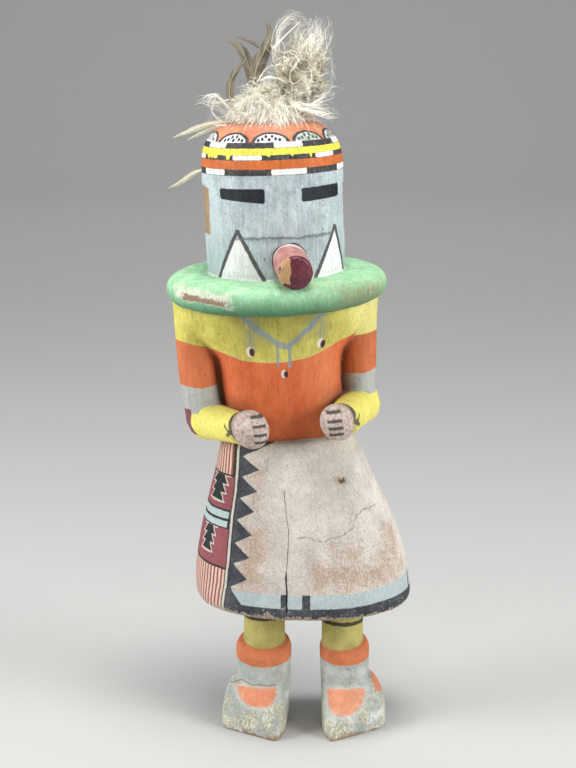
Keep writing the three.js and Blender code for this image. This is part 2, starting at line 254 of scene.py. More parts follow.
def surface(lo, hi, step, dist):
    """A quad mesh of dist's zero surface, on a grid."""
    axes = [np.arange(a, b + step, step) for a, b in zip(lo, hi)]
    n = [len(a) for a in axes]
    grid = np.empty(n, np.float32)
    x, y = np.meshgrid(axes[0], axes[1], indexing="ij")
    for k in range(0, n[2], 12):
        zs = axes[2][k:k + 12]
        shape = (n[0], n[1], len(zs))
        block = [np.broadcast_to(a, shape).ravel() for a in (x[:, :, None], y[:, :, None], zs[None, None, :])]
        grid[:, :, k:k + 12] = dist(*block).reshape(shape)
    inside = grid < 0
    corners = [inside[a:n[0] - 1 + a, b:n[1] - 1 + b, c:n[2] - 1 + c]
               for a in (0, 1) for b in (0, 1) for c in (0, 1)]
    some = np.logical_or.reduce(corners) & ~np.logical_and.reduce(corners)
    number = np.full(some.shape, -1, np.int64)
    cells = np.argwhere(some)
    number[some] = np.arange(len(cells))
    total, count = np.zeros((len(cells), 3)), np.zeros(len(cells))
    for axis in range(3):
        other = [a for a in range(3) if a != axis]
        for da in (0, 1):
            for db in (0, 1):
                p = cells.copy()
                p[:, other[0]] += da
                p[:, other[1]] += db
                q = p.copy()
                q[:, axis] += 1
                fp, fq = grid[tuple(p.T)], grid[tuple(q.T)]
                cross = (fp < 0) != (fq < 0)
                point = p.astype(float)
                point[:, axis] += np.where(cross, fp / np.where(cross, fp - fq, 1), 0)
                total[cross] += point[cross]
                count[cross] += 1
    points = total / count[:, None] * step + np.array([a[0] for a in axes])
    faces = []
    for axis in range(3):
        u, v = (axis + 1) % 3, (axis + 2) % 3
        a = [slice(1, -1)] * 3
        a[axis] = slice(0, n[axis] - 1)
        b = list(a)
        b[axis] = slice(1, n[axis])
        f0, f1 = inside[tuple(a)], inside[tuple(b)]
        edges = np.argwhere(f0 != f1)
        leaving = f0[tuple(edges.T)]
        at = edges + 1
        at[:, axis] -= 1
        quad = []
        for du, dv in ((1, 1), (0, 1), (0, 0), (1, 0)):
            c = at.copy()
            c[:, u] -= du
            c[:, v] -= dv
            quad.append(number[tuple(c.T)])
        quad = np.stack(quad, 1)
        quad[~leaving] = quad[~leaving][:, ::-1]
        faces.append(quad)
    faces = np.concatenate(faces)
    for _ in range(2):
        f, g = dist(*points.T), gradient(points, dist)
        points -= g * np.clip(f / np.maximum((g * g).sum(1), 0.2), -0.8, 0.8)[:, None]
    return points, faces


def gradient(p, dist, e=0.15):
    return np.stack([dist(*(p + d).T) - dist(*(p - d).T) for d in np.eye(3) * e], 1) / (2 * e)


def unit(v):
    return v / np.maximum(np.linalg.norm(v, axis=-1, keepdims=True), 1e-9)


def rings(rows, count):
    """The quads between rows of points that go round, count to a row."""
    return [[k * count + i, k * count + (i + 1) % count, (k + 1) * count + (i + 1) % count, (k + 1) * count + i]
            for k in range(rows - 1) for i in range(count)]


def strips(n, m):
    """The quads of n flat strands, each of m pairs of points."""
    base = (np.arange(n)[:, None] * m + np.arange(m - 1)[None, :]) * 2
    return np.stack([base, base + 1, base + 3, base + 2], -1).reshape(-1, 4)


def add_mesh(name, points, faces, attributes=None):
    """A mesh from points in the frame in millimetres. The attributes are per point."""
    mesh = bpy.data.meshes.new(name)
    faces = np.asarray(faces)
    mesh.vertices.add(len(points))
    mesh.vertices.foreach_set("co", (points * 0.001).astype(np.float32).ravel())
    mesh.loops.add(faces.size)
    mesh.loops.foreach_set("vertex_index", faces.astype(np.int32).ravel())
    mesh.polygons.add(len(faces))
    mesh.polygons.foreach_set("loop_start", np.arange(0, faces.size, faces.shape[1], dtype=np.int32))
    mesh.update(calc_edges=True)
    mesh.validate()
    mesh.polygons.foreach_set("use_smooth", np.ones(len(mesh.polygons), bool))
    for key, data in (attributes or {}).items():
        data = np.asarray(data, np.float32)
        kind, field = ("FLOAT", "value") if data.ndim == 1 else ("FLOAT_VECTOR", "vector")
        mesh.attributes.new(key, kind, "POINT").data.foreach_set(field, data.ravel())
    made = bpy.data.objects.new(name, mesh)
    bpy.context.scene.collection.objects.link(made)
    return made


# ---- painting: numbers and colours that flow through a material's nodes ----
def linear(rgb):
    """A colour given as 0-255 screen values, as the light it reflects."""
    c = np.array(rgb[:3], float) / 255
    return tuple(np.where(c <= 0.04045, c / 12.92, ((c + 0.055) / 1.055) ** 2.4)) + (1.0,)


class Flow:
    """A node's output, with arithmetic that adds nodes."""

    def __init__(self, paint, socket):
        self.paint, self.socket = paint, socket

    def __add__(self, o): return self.paint.math("ADD", self, o)
    def __sub__(self, o): return self.paint.math("SUBTRACT", self, o)
    def __mul__(self, o): return self.paint.math("MULTIPLY", self, o)
    def __truediv__(self, o): return self.paint.math("DIVIDE", self, o)
    def __neg__(self): return self.paint.math("MULTIPLY", self, -1)
    def __rsub__(self, o): return self.paint.math("SUBTRACT", o, self)
    def __radd__(self, o): return self + o
    def __rmul__(self, o): return self * o
    def __abs__(self): return self.paint.math("ABSOLUTE", self)


class Paint:
    """A material being built."""

    def __init__(self, name):
        self.material = bpy.data.materials.new(name)
        self.material.use_nodes = True
        self.nodes, self.links = self.material.node_tree.nodes, self.material.node_tree.links
        self.nodes.clear()
        self.kept = {}

    def put(self, value, socket):
        if isinstance(value, Flow):
            self.links.new(value.socket, socket)
        else:
            socket.default_value = value

    def math(self, operation, *values, clamp=False):
        n = self.nodes.new("ShaderNodeMath")
        n.operation, n.use_clamp = operation, clamp
        for value, socket in zip(values, n.inputs):
            self.put(value, socket)
        return Flow(self, n.outputs[0])

    def low(self, a, *more):
        for b in more:
            a = self.math("MINIMUM", a, b)
        return a

    def high(self, a, *more):
        for b in more:
            a = self.math("MAXIMUM", a, b)
        return a

    def edge(self, inside, width=0.25):
        """1 where inside is above zero, with an edge that wide."""
        return self.math("MULTIPLY_ADD", inside, 1 / width, 0.5, clamp=True)

    def ramp(self, value, rise, start=0.0):
        """The value times rise, plus start, kept between 0 and 1."""
        return self.math("MULTIPLY_ADD", value, rise, start, clamp=True)

    def only(self, inside, side):
        """A shape on one side of the block, where side is 1, and far from it on the other."""
        return inside + (side - 1) * 20

    def away(self, u, v):
        """How far a point at u, v is from the middle."""
        return self.math("SQRT", u * u + v * v)

    def degrees(self, x, y):
        """How far round the block a point is, from its front."""
        return self.math("ARCTAN2", x, -y) * (180 / math.pi)

    def patchy(self, a, b, cloud):
        """Colour a with soft patches of b."""
        return self.mix(a, b, self.ramp(cloud, 2.2, -0.6))

    def band(self, value, low, high):
        """How far inside the band a value is."""
        return self.low(value - low, high - value)

    def attribute(self, name):
        if name not in self.kept:
            n = self.nodes.new("ShaderNodeAttribute")
            n.attribute_name = name
            self.kept[name] = n
        return self.kept[name]

    def number(self, name):
        return Flow(self, self.attribute(name).outputs["Fac"])

    def xyz(self, name="rest"):
        n = self.nodes.new("ShaderNodeSeparateXYZ")
        self.links.new(self.attribute(name).outputs["Vector"], n.inputs[0])
        return [Flow(self, o) for o in n.outputs]

    def noise(self, size, detail, rough, seed, stretch=(1, 1, 1), name="rest"):
        """Noise from 0 to 1, with lumps about size millimetres across, stretched by the given factors."""
        key = (name, stretch, seed)
        if key not in self.kept:
            m = self.nodes.new("ShaderNodeVectorMath")
            m.operation = "MULTIPLY_ADD"
            self.links.new(self.attribute(name).outputs["Vector"], m.inputs[0])
            m.inputs[1].default_value = [1 / s for s in stretch]
            m.inputs[2].default_value = (seed * 31.7, seed * 11.3, seed * 5.9)
            self.kept[key] = m
        n = self.nodes.new("ShaderNodeTexNoise")
        self.links.new(self.kept[key].outputs[0], n.inputs["Vector"])
        n.inputs["Scale"].default_value = 1 / size
        n.inputs["Detail"].default_value = detail
        n.inputs["Roughness"].default_value = rough
        return Flow(self, n.outputs["Fac"])

    def mix(self, a, b, amount):
        n = self.nodes.new("ShaderNodeMix")
        n.data_type = "RGBA"
        for value, socket in ((amount, n.inputs[0]), (a, n.inputs[6]), (b, n.inputs[7])):
            self.put(linear(value) if isinstance(value, tuple) else value, socket)
        return Flow(self, n.outputs[2])

    def coat(self, under, paint, inside, width=0.3, cover=1):
        """Paint over what is under it, where inside is above zero."""
        where = self.edge(inside, width)
        return self.mix(under, paint, where if cover == 1 else where * cover)

    def tone(self, colour, amount):
        """The colour made lighter or darker by a number round 1."""
        n = self.nodes.new("ShaderNodeVectorMath")
        n.operation = "SCALE"
        self.put(colour, n.inputs[0])
        self.put(amount, n.inputs["Scale"])
        return Flow(self, n.outputs[0])

    def finish(self, colour, roughness, height=None, depth=0.2, shine=0.35, sheen=0.0):
        """The surface. The height is 0 to 1 and depth is what 1 stands for, in millimetres."""
        out = self.nodes.new("ShaderNodeOutputMaterial")
        s = self.nodes.new("ShaderNodeBsdfPrincipled")
        self.put(colour, s.inputs["Base Color"])
        self.put(roughness, s.inputs["Roughness"])
        s.inputs["Specular IOR Level"].default_value = shine
        s.inputs["Sheen Weight"].default_value = sheen
        if height is not None:
            b = self.nodes.new("ShaderNodeBump")
            b.inputs["Strength"].default_value = 1.0
            b.inputs["Distance"].default_value = depth * 0.001
            self.put(height, b.inputs["Height"])
            self.links.new(b.outputs[0], s.inputs["Normal"])
        self.links.new(s.outputs[0], out.inputs[0])
        return self.material


def aged(p, colour, wear, dirt_and_shade=1.0, ground=(203, 196, 183), wood=(150, 122, 92), rough=1.0, stretch=9):
    """Paint rubbed through to its ground and the wood where wear is above 0, streaked, soiled, and darker where the
    surface is closed in, as grime and painted shade.
    """
    streaks = p.noise(1.2, 3, 0.6, 3, (1, 1, stretch))
    blotches = p.noise(9, 3, 0.55, 5, (1, 1, 1.6))
    grit = p.noise(0.55, 2, 0.6, 4, (1, 1, 1.4))
    colour = p.tone(colour, 1 + ((streaks - 0.5) * 0.75 + (blotches - 0.5) * 0.55 + (grit - 0.5) * 0.6) * rough)
    colour = p.coat(colour, ground, wear, 0.10, 0.85)
    colour = p.coat(colour, p.mix(wood, (120, 90, 66), streaks), wear - 0.06, 0.08, 0.9)
    # grime and painted shade: darker where the surface is closed in, as the open attribute tells
    grime_and_shade = p.ramp(1 - p.number("open"), dirt_and_shade * 0.9)
    colour = p.mix(colour, (70, 58, 48), grime_and_shade * (0.35 + blotches * 0.5))
    pits = p.edge(0.27 - p.noise(0.9, 1.0, 0.5, 9), 0.05)
    colour = p.mix(colour, (92, 74, 58), pits * 0.55)
    height = streaks * 0.8 + grit * 0.5 + p.noise(2.6, 2, 0.5, 7, (1, 1, 1.5)) * 1.2
    return colour, height - p.edge(wear, 0.1) * 0.35 - pits * 0.5


def mint(p):
    """The ruff's paint: green, with painted shade under its rim and on its front, and its rim rubbed to the wood at the
    front left.
    """
    x, y, z = p.xyz()
    n = p.noise(5, 4, 0.6, 21)
    fine = p.noise(1.1, 2, 0.6, 22)
    colour = p.mix((144, 202, 152), (186, 232, 188), p.ramp(n, 2.6, -0.8))
    # painted shade: the green darker under the rim, and darkest along its lowest edge
    under = p.ramp(211.5 - z + (n - 0.5) * 5, 0.15)
    colour = p.mix(colour, (96, 158, 118), under * 0.9)
    colour = p.mix(colour, (58, 116, 90), p.ramp(205.6 - z + (n - 0.5) * 3, 0.4) * 0.6)
    degrees = p.degrees(x, y)
    along = degrees + 48.5  # the worn patch runs down to the right
    # painted shade: the front of the ruff a little darker
    front = p.ramp(-y - 18, 0.06) * p.ramp(214 - z, 0.4)
    colour = p.tone(colour, 1 - front * 0.2)
    brownish = p.low((26 - abs(degrees - 44)) * 0.06, (5 - abs(z - 208)) * 0.3)
    brownish = brownish + (fine - 0.5) * 1.6 + (n - 0.5) * 3
    colour = p.coat(colour, (142, 132, 92), brownish - 0.3, 1.6, 0.6)
    off = z - 208.4 + along * 0.06
    flow = p.noise(0.9, 3, 0.6, 24, (5, 5, 1))
    halo = p.low((20 - abs(along + 5)) * 0.25, 2.6 - abs(off - 1.3)) + (fine - 0.5) * 2.6 + (n - 0.5) * 5
    colour = p.coat(colour, p.mix((198, 196, 168), (236, 236, 220), flow), halo, 1.8, 0.8)
    patch = p.low((15.5 - abs(along)) * 0.2, 1.6 - abs(off)) * 0.22
    patch = p.low(patch, 0.3) + (fine - 0.5) * 0.3 + (n - 0.5) * 0.6 + (flow - 0.5) * 0.45
    chips = p.noise(2.3, 2, 0.6, 23, (1.6, 1, 0.8))
    rim = p.number("edge") * 0.25 + chips - 0.83
    right = p.low(0.14, p.low((14 - abs(degrees - 54)) * 0.1, 3.4 - abs(z - 209.5)) * 0.2)
    return colour, p.high(patch, rim, right + fine * 0.4 + chips * 0.6 - 0.72)


def mask_paint():
    """The mask and the ruff round its foot."""
    p = Paint("mask_paint")
    x, y, z0 = p.xyz()
    wob = p.noise(2.5, 1, 0.5, 1) - 0.5
    wob2 = p.noise(3.1, 1, 0.5, 2) - 0.5
    z = z0 + wob * 0.45
    degrees = p.degrees(x, y) + wob2 * 1.0
    side = degrees * MM_PER_DEGREE
    grain = p.noise(0.6, 3, 0.65, 11, (1, 1, 14))
    cloud = p.noise(11, 3, 0.5, 12)
    upper = p.ramp(z - 236, 0.12)
    sides = p.ramp(abs(degrees + 4), 0.04, -1.3)
    mottle = p.noise(1.5, 4, 0.72, 19, (1, 1, 1.3))
    smudge = p.noise(7, 3, 0.6, 18, (1, 1, 0.8))
    face = p.patchy((166, 178, 183), (194, 206, 208), cloud)
    # painted light: the face lighter towards both sides of the mask
    face = p.mix(face, (198, 214, 213), sides * 0.6)
    face = p.mix(face, (146, 154, 160), p.ramp(smudge, 5, -2.7) * (1 - sides) * 0.55)
    face = p.mix(face, (130, 134, 135), p.ramp(grain, 5.0, -2.6) * (0.6 - upper * 0.42))
    face = p.mix(face, (136, 144, 148), p.ramp(mottle, 5, -2.5) * upper * 0.55)
    face = p.mix(face, (216, 228, 230), p.ramp(mottle, -5, 2.2) * 0.5)
    face = p.tone(face, 1 - p.ramp(237 - z, 0.08) * 0.14)
    foot = p.number("join_head") + 1.1 + (mottle - 0.5) * 3
    face = p.coat(face, (226, 232, 228), foot, 0.8, 0.7)

    # the white teeth of the mask, each a tall triangle between two dark strokes
    colour, strokes = face, []
    for apex, top, left, right, whites in ((-38.5, 236.3, -61.5, -18.0, ((236, 238, 236), (214, 210, 208))),
                                           (50, 236.5, 26.8, 67.5, ((255, 255, 255), (228, 226, 224)))):
        down, tall = top - z, top - 215.5
        a = (side - apex * MM_PER_DEGREE) + down * ((apex - left) * MM_PER_DEGREE / tall)
        b = (apex * MM_PER_DEGREE - side) + down * ((right - apex) * MM_PER_DEGREE / tall)
        colour = p.coat(colour, p.mix(*whites, grain), p.low(a, b, z - MASK_FOOT))
        strokes.append(0.95 - p.low(abs(a), abs(b)) * 0.88 + (grain - 0.5) * 0.5)
    strokes = p.low(p.high(*strokes), 236.9 - z)
    dark = p.mix((52, 50, 46), (84, 84, 80), p.ramp(grain, 4, -1.8))
    colour = p.coat(colour, dark, strokes, 0.3, 0.95)

    # the eyes: two dark bars with soft corners
    eyes = []
    for low, high, top, fall, bottom, rise in ((-54.5, -14, 254.4, 0, 249.0, -0.085),
                                               (15.5, 57.5, 254.3, 0.02, 248.6, 0.03)):
        middle = (low + high) / 2
        along = side - middle * MM_PER_DEGREE
        up = p.low(top + along * fall - z, z - (bottom + along * rise))
        across = (high - low) / 2 * MM_PER_DEGREE - abs(along)
        eyes.append(p.low(up, across, (up + across) * 0.7 - 0.45))
    eyes = p.high(*eyes)
    navy = p.mix((12, 22, 32), (40, 54, 66), p.ramp(grain, 4, -2.1))
    colour = p.coat(colour, navy, eyes)

    # the crown's bands
    def blocks(centres, half):
        return p.high(*[(h - abs(p.math("WRAP", degrees - c, 180.0, -180.0))) * MM_PER_DEGREE
                        for c, h in zip(centres, half)])

    white = p.mix((246, 246, 240), (205, 200, 190), p.ramp(grain, 3, -1.6))
    black = p.mix((46, 46, 49), (98, 96, 94), p.ramp(mottle, 4, -1.8))
    orange = p.mix((198, 94, 34), (210, 118, 60), cloud)
    yellow = p.mix((240, 230, 78), (222, 204, 84), cloud)
    rows = [  # bottom and top of the band, its colour, the white blocks on it
        (259.9, 262.6, black, ((-61, 6.5, 70, 131, -169, -115), (13, 14.5, 12.7, 12, 13, 13))),
        (262.6, 266.4, orange, None),
        (266.4, 268.5, black, ((-27.5, 41.8, 101, 161, -139, -88), (12.5, 11.3, 12, 12, 13, 12))),
        (268.5, 271.3, yellow, None),
        (271.3, 273.9, black, ((-61, 7.5, 69, 129, -171, -115), (12, 12.5, 11, 12, 12, 12))),
    ]
    for low, high, paint, marks in rows:
        colour = p.coat(colour, paint, z - low, 0.25)
        if marks:
            bx, bz = blocks(*marks), p.band(z, low + 0.2, high - 0.05)
            colour = p.coat(colour, white, p.low(bx, bz, (bx + bz) * 0.7 - 0.3) + (grain - 0.5) * 0.3)
    # yellow that ran down over the dark band
    drips = p.low(7.5 - abs(degrees + 64), z - 267.2 + (p.noise(1.3, 2, 0.7, 16) - 0.5) * 3.6)
    for c, wide, low in ((-45, 1.3, 266.8), (-9.5, 0.7, 268.0), (9.5, 0.7, 267.9), (26, 0.8, 266.8)):
        drips = p.high(drips, p.low(wide - abs(degrees - c) * MM_PER_DEGREE - (268.5 - z) * 0.35, z - low))
    colour = p.coat(colour, (238, 228, 84), p.low(drips, 268.8 - z))
    # the dome: white scallops with dark rims, then salmon
    salmon = p.patchy((200, 121, 93), (216, 148, 118), cloud)
    salmon = p.coat(salmon, (236, 160, 96), 0.42 - p.noise(3.5, 3, 0.6, 14), 0.16, 0.7)
    pitch, half, tall = 36, 8.5, 3.9  # degrees from scallop to scallop, then a scallop's half width and height
    place = (degrees + 7.6) / pitch + 0.5
    index = p.math("FLOOR", place)
    local = (p.math("FRACT", place) - 0.5) * (pitch * 0.50)
    up = z - 273.8
    arch = (1 - p.away(local / half, up / tall)) * tall
    colour = p.coat(colour, salmon, up, 0.25)
    colour = p.coat(colour, black, p.low(arch, up), 0.25)
    inner = p.mix(white, (170, 182, 172), p.edge(degrees - 9, 4) * p.ramp(mottle, 3, -0.7))
    colour = p.coat(colour, inner, p.low(arch - 0.75, up + 0.1), 0.25)
    shift = (p.math("FRACT", index * 0.37 + 0.11) - 0.5) * 1.6
    dots = 0.72 - p.low(*[p.away(local - (shift + u), up - v) for u, v in (
        (-4.9, 0.8), (-3.1, 1.3), (-1.4, 2.2), (0.0, 0.9), (1.3, 2.2), (2.9, 1.2), (4.7, 0.8))])
    colour = p.coat(colour, p.coat((40, 50, 62), (92, 96, 84), degrees - 9, 4), p.low(dots, arch - 0.9))

    # bare tan wood on the flats at the sides
    flats = p.low(p.band(z, 233.4, 254.0), abs(x) - 29.45, 100 - abs(degrees))
    colour = p.coat(colour, p.mix((176, 150, 118), (150, 120, 88), grain), flats)

    # the crease over the mask's set-back lower face, with a painted shadow line along it
    crease = p.low(0.6 - abs(z0 - 233.0 - wob * 2.2), (46.0 - abs(degrees - 3.5)) * 0.3)
    crease = p.edge(crease + (cloud - 0.55) * 1.2, 0.7)
    colour = p.mix(colour, (104, 108, 110), crease * 0.75)

    green, rubbed = mint(p)
    is_green = p.edge(p.number("join_head") + wob * 0.3, 0.35)
    colour = p.mix(colour, green, is_green)
    spots = p.noise(3.2, 4, 0.65, 15, (1, 1, 1.3))
    wear = p.number("edge") * 0.18 + spots - 0.80
    wear = wear + (rubbed - wear) * is_green
    colour, height = aged(p, colour, wear, 0.8)
    height = height - crease * 0.8 + p.edge(p.high(eyes, strokes), 0.5) * 0.12
    return p.finish(colour, 0.62 + (spots - 0.5) * 0.2, height, 0.28)


def body_paint():
    """The trunk and the arms."""
    p = Paint("body_paint")
    x, y, z0 = p.xyz()
    wob = p.noise(3.0, 1, 0.5, 1) - 0.5
    grain = p.noise(1.0, 3, 0.6, 11, (1, 1, 7))
    cloud = p.noise(8, 3, 0.55, 12, (1, 1, 1.5))
    z = z0 + wob * 0.7
    degrees = p.degrees(x, y)
    mm = CHEST_MM_PER_DEGREE
    trunk_mm = degrees * mm
    is_arm = p.edge(p.number("join_arm"), 0.4)
    edge_z, necklace, _ = p.xyz("lines")
    yellow = p.mix((196, 184, 84), (232, 222, 112), p.ramp(cloud, 2.4, -0.75))
    yellow = p.mix(yellow, (150, 132, 60), p.ramp(grain, 5, -2.8) * 0.6)
    orange = p.patchy((204, 92, 44), (226, 120, 70), cloud)
    orange = p.mix(orange, (166, 80, 48), p.ramp(grain, 5, -2.8) * 0.5)
    out = abs(x)
    fade = p.ramp(30 - out, 0.1)
    # painted light: the yellow paler on the right shoulder, and the orange lighter on the right of the chest
    yellow = p.mix(yellow, (246, 238, 160), p.ramp(x - 25, 0.09) * 0.55)
    orange = p.mix(orange, (236, 146, 96), p.ramp(x - 6, 0.09) * fade * 0.45)
    # painted shadow of the ruff: the chest's yellow darker towards the ruff, fading out towards the shoulders
    shaded = p.tone(yellow, 1 - p.ramp(z - 177, 0.08, 0.1) * fade * 0.3)
    trunk_ = p.coat(orange, shaded, edge_z + wob * 0.8, 0.4)
    rim_line = p.edge(0.28 - abs(edge_z + wob * 0.8), 0.4)
    trunk_ = p.mix(trunk_, (206, 196, 140), rim_line * 0.6)

    # the painted necklace, its washes and its three pendants
    blue = p.mix((122, 136, 140), (146, 160, 164), cloud)
    front = p.low(z - 183, 44 - abs(degrees))
    rough = p.noise(1.5, 3, 0.7, 17) - 0.5
    band = p.low(1.45 - abs(necklace + wob * 1.4) + rough * 1.6, front)
    for at, low, high, half in ((-8.5, 175.5, 187, 0.6), (5.0, 174.8, 185, 0.8)):
        band = p.high(band, p.low(half - abs(trunk_mm - at * mm + wob * 0.8), p.band(z, low, high)))
    washes = p.low(3.4 - abs(necklace - 0.8 + wob * 3), front, abs(degrees) - 24) * 0.35
    for at, low, high in ((-35, 183.5, 193.5), (38, 185.5, 196)):
        washes = p.high(washes, p.low(1.6 - abs(trunk_mm - at * mm + wob * 2.2), p.band(z, low, high)) * 0.5)
    trunk_ = p.coat(trunk_, (140, 146, 138), washes + (grain - 0.6) * 1.6 + rough, 1.2, 0.55)
    trunk_ = p.coat(trunk_, blue, band + (grain - 0.5) * 0.8, 0.7, 0.85)

    def spot(at, height, a, b):
        return (1 - p.away((trunk_mm - at * mm) / a, (z0 - height) / b)) * a

    for pale, dark in (((-36.6, 182.7, 1.5, 2.3), (-34.9, 182.6, 1.05, 1.9)),
                       ((38, 184.5, 1.35, 2.2), (40.4, 183.9, 1.0, 1.9)),
                       ((-1.8, 172, 1.5, 1.9), (0.4, 171.8, 1.05, 1.5))):
        trunk_ = p.coat(trunk_, (232, 222, 206), spot(*pale), 0.3, 0.9)
        trunk_ = p.coat(trunk_, (70, 34, 44), spot(*dark))

    # the arms: yellow, orange, a grey band, a yellow forearm, a dark wrist line and a pale hand
    left = p.math("LESS_THAN", x, 0.0)
    top = 185.0 + left * 0.6 + (out - 38) * (0.12 + left * 0.12)
    low1 = 166.9 - left * 0.5 + (out - 38) * (0.1 - left * 0.05) + abs(out - 37) * 0.12
    low2 = 157.1 - left * 1.4 - abs(out - 36) * 0.05 - (out - 37) * left * 0.35 + (out - 37) * 0.12
    grey = p.mix((168, 170, 164), (186, 186, 178), cloud)
    pale_yellow = p.mix((240, 232, 116), (226, 214, 110), grain)
    arm_ = p.coat(p.mix(orange, (200, 118, 74), 0.55), yellow, z - top, 0.4)
    arm_ = p.coat(grey, arm_, z - low1, 0.35)

    lower = (low2 - z) + p.high(0.0, -y - 10.5) * 2.2
    arm_ = p.coat(arm_, pale_yellow, lower, 0.35)
    patch = p.only(p.low(p.band(z, 144.0, 156.5), (out - 39.6) * 1.5, y + 8.0), left)
    arm_ = p.coat(arm_, (128, 70, 84), patch, 0.4)
    s = (36 - out) * 0.445 + (-1.6 - y) * 0.896  # along the forearm, from the elbow
    ring = s - (32.4 - (z0 - 150) * 0.2)
    mottle = p.noise(1.5, 3, 0.7, 31)
    hand_ = p.mix((200, 184, 175), (140, 106, 84), p.ramp(mottle, 4, -1.7) * 0.8)
    hand_ = p.mix(hand_, (146, 108, 80), p.ramp(5 - ring + (mottle - 0.5) * 10, 0.2) * 0.45)
    arm_ = p.coat(arm_, hand_, ring, 0.4)
    ink = (62, 60, 56)
    arm_ = p.coat(arm_, ink, 0.75 - abs(ring), 0.35, 0.9)
    ties = p.high(*[p.low(0.62 - abs((z0 - 150.5) - (ring + 0.4) * slope) * 0.75, p.band(ring, -reach, 0.8))
                    for slope, reach in ((-0.75, 4.2), (0.55, 4.6))])
    arm_ = p.coat(arm_, ink, p.low(ties, out - 22), 0.35, 0.85)
    dashes = []
    for lz, rz in ((158.1, 157.2), (154.2, 153.5), (150.4, 150.4), (146.9, 147.5)):  # heights, left and right
        level = rz + left * (lz - rz) + (out - 17) * 0.07
        dashes.append(p.low(0.68 - abs(z0 - level + wob * 0.4), 3.1 - abs(out - (17.3 - left * 1.6)), -y - 34))
    arm_ = p.coat(arm_, (58, 56, 54), p.high(*dashes) + (grain - 0.5) * 0.4, 0.4, 0.92)
    colour = p.mix(trunk_, arm_, is_arm)
    spots = p.noise(2.8, 4, 0.7, 15, (1, 1, 1.3))
    wear = p.number("edge") * 0.12 + spots - 0.84
    green, _ = mint(p)
    is_green = p.edge(p.number("join_ruff"), 0.3)
    colour = p.mix(colour, green, is_green)
    colour, height = aged(p, colour, wear, 1.1, rough=0.65)
    return p.finish(colour, 0.66 + (spots - 0.5) * 0.2, height, 0.26)


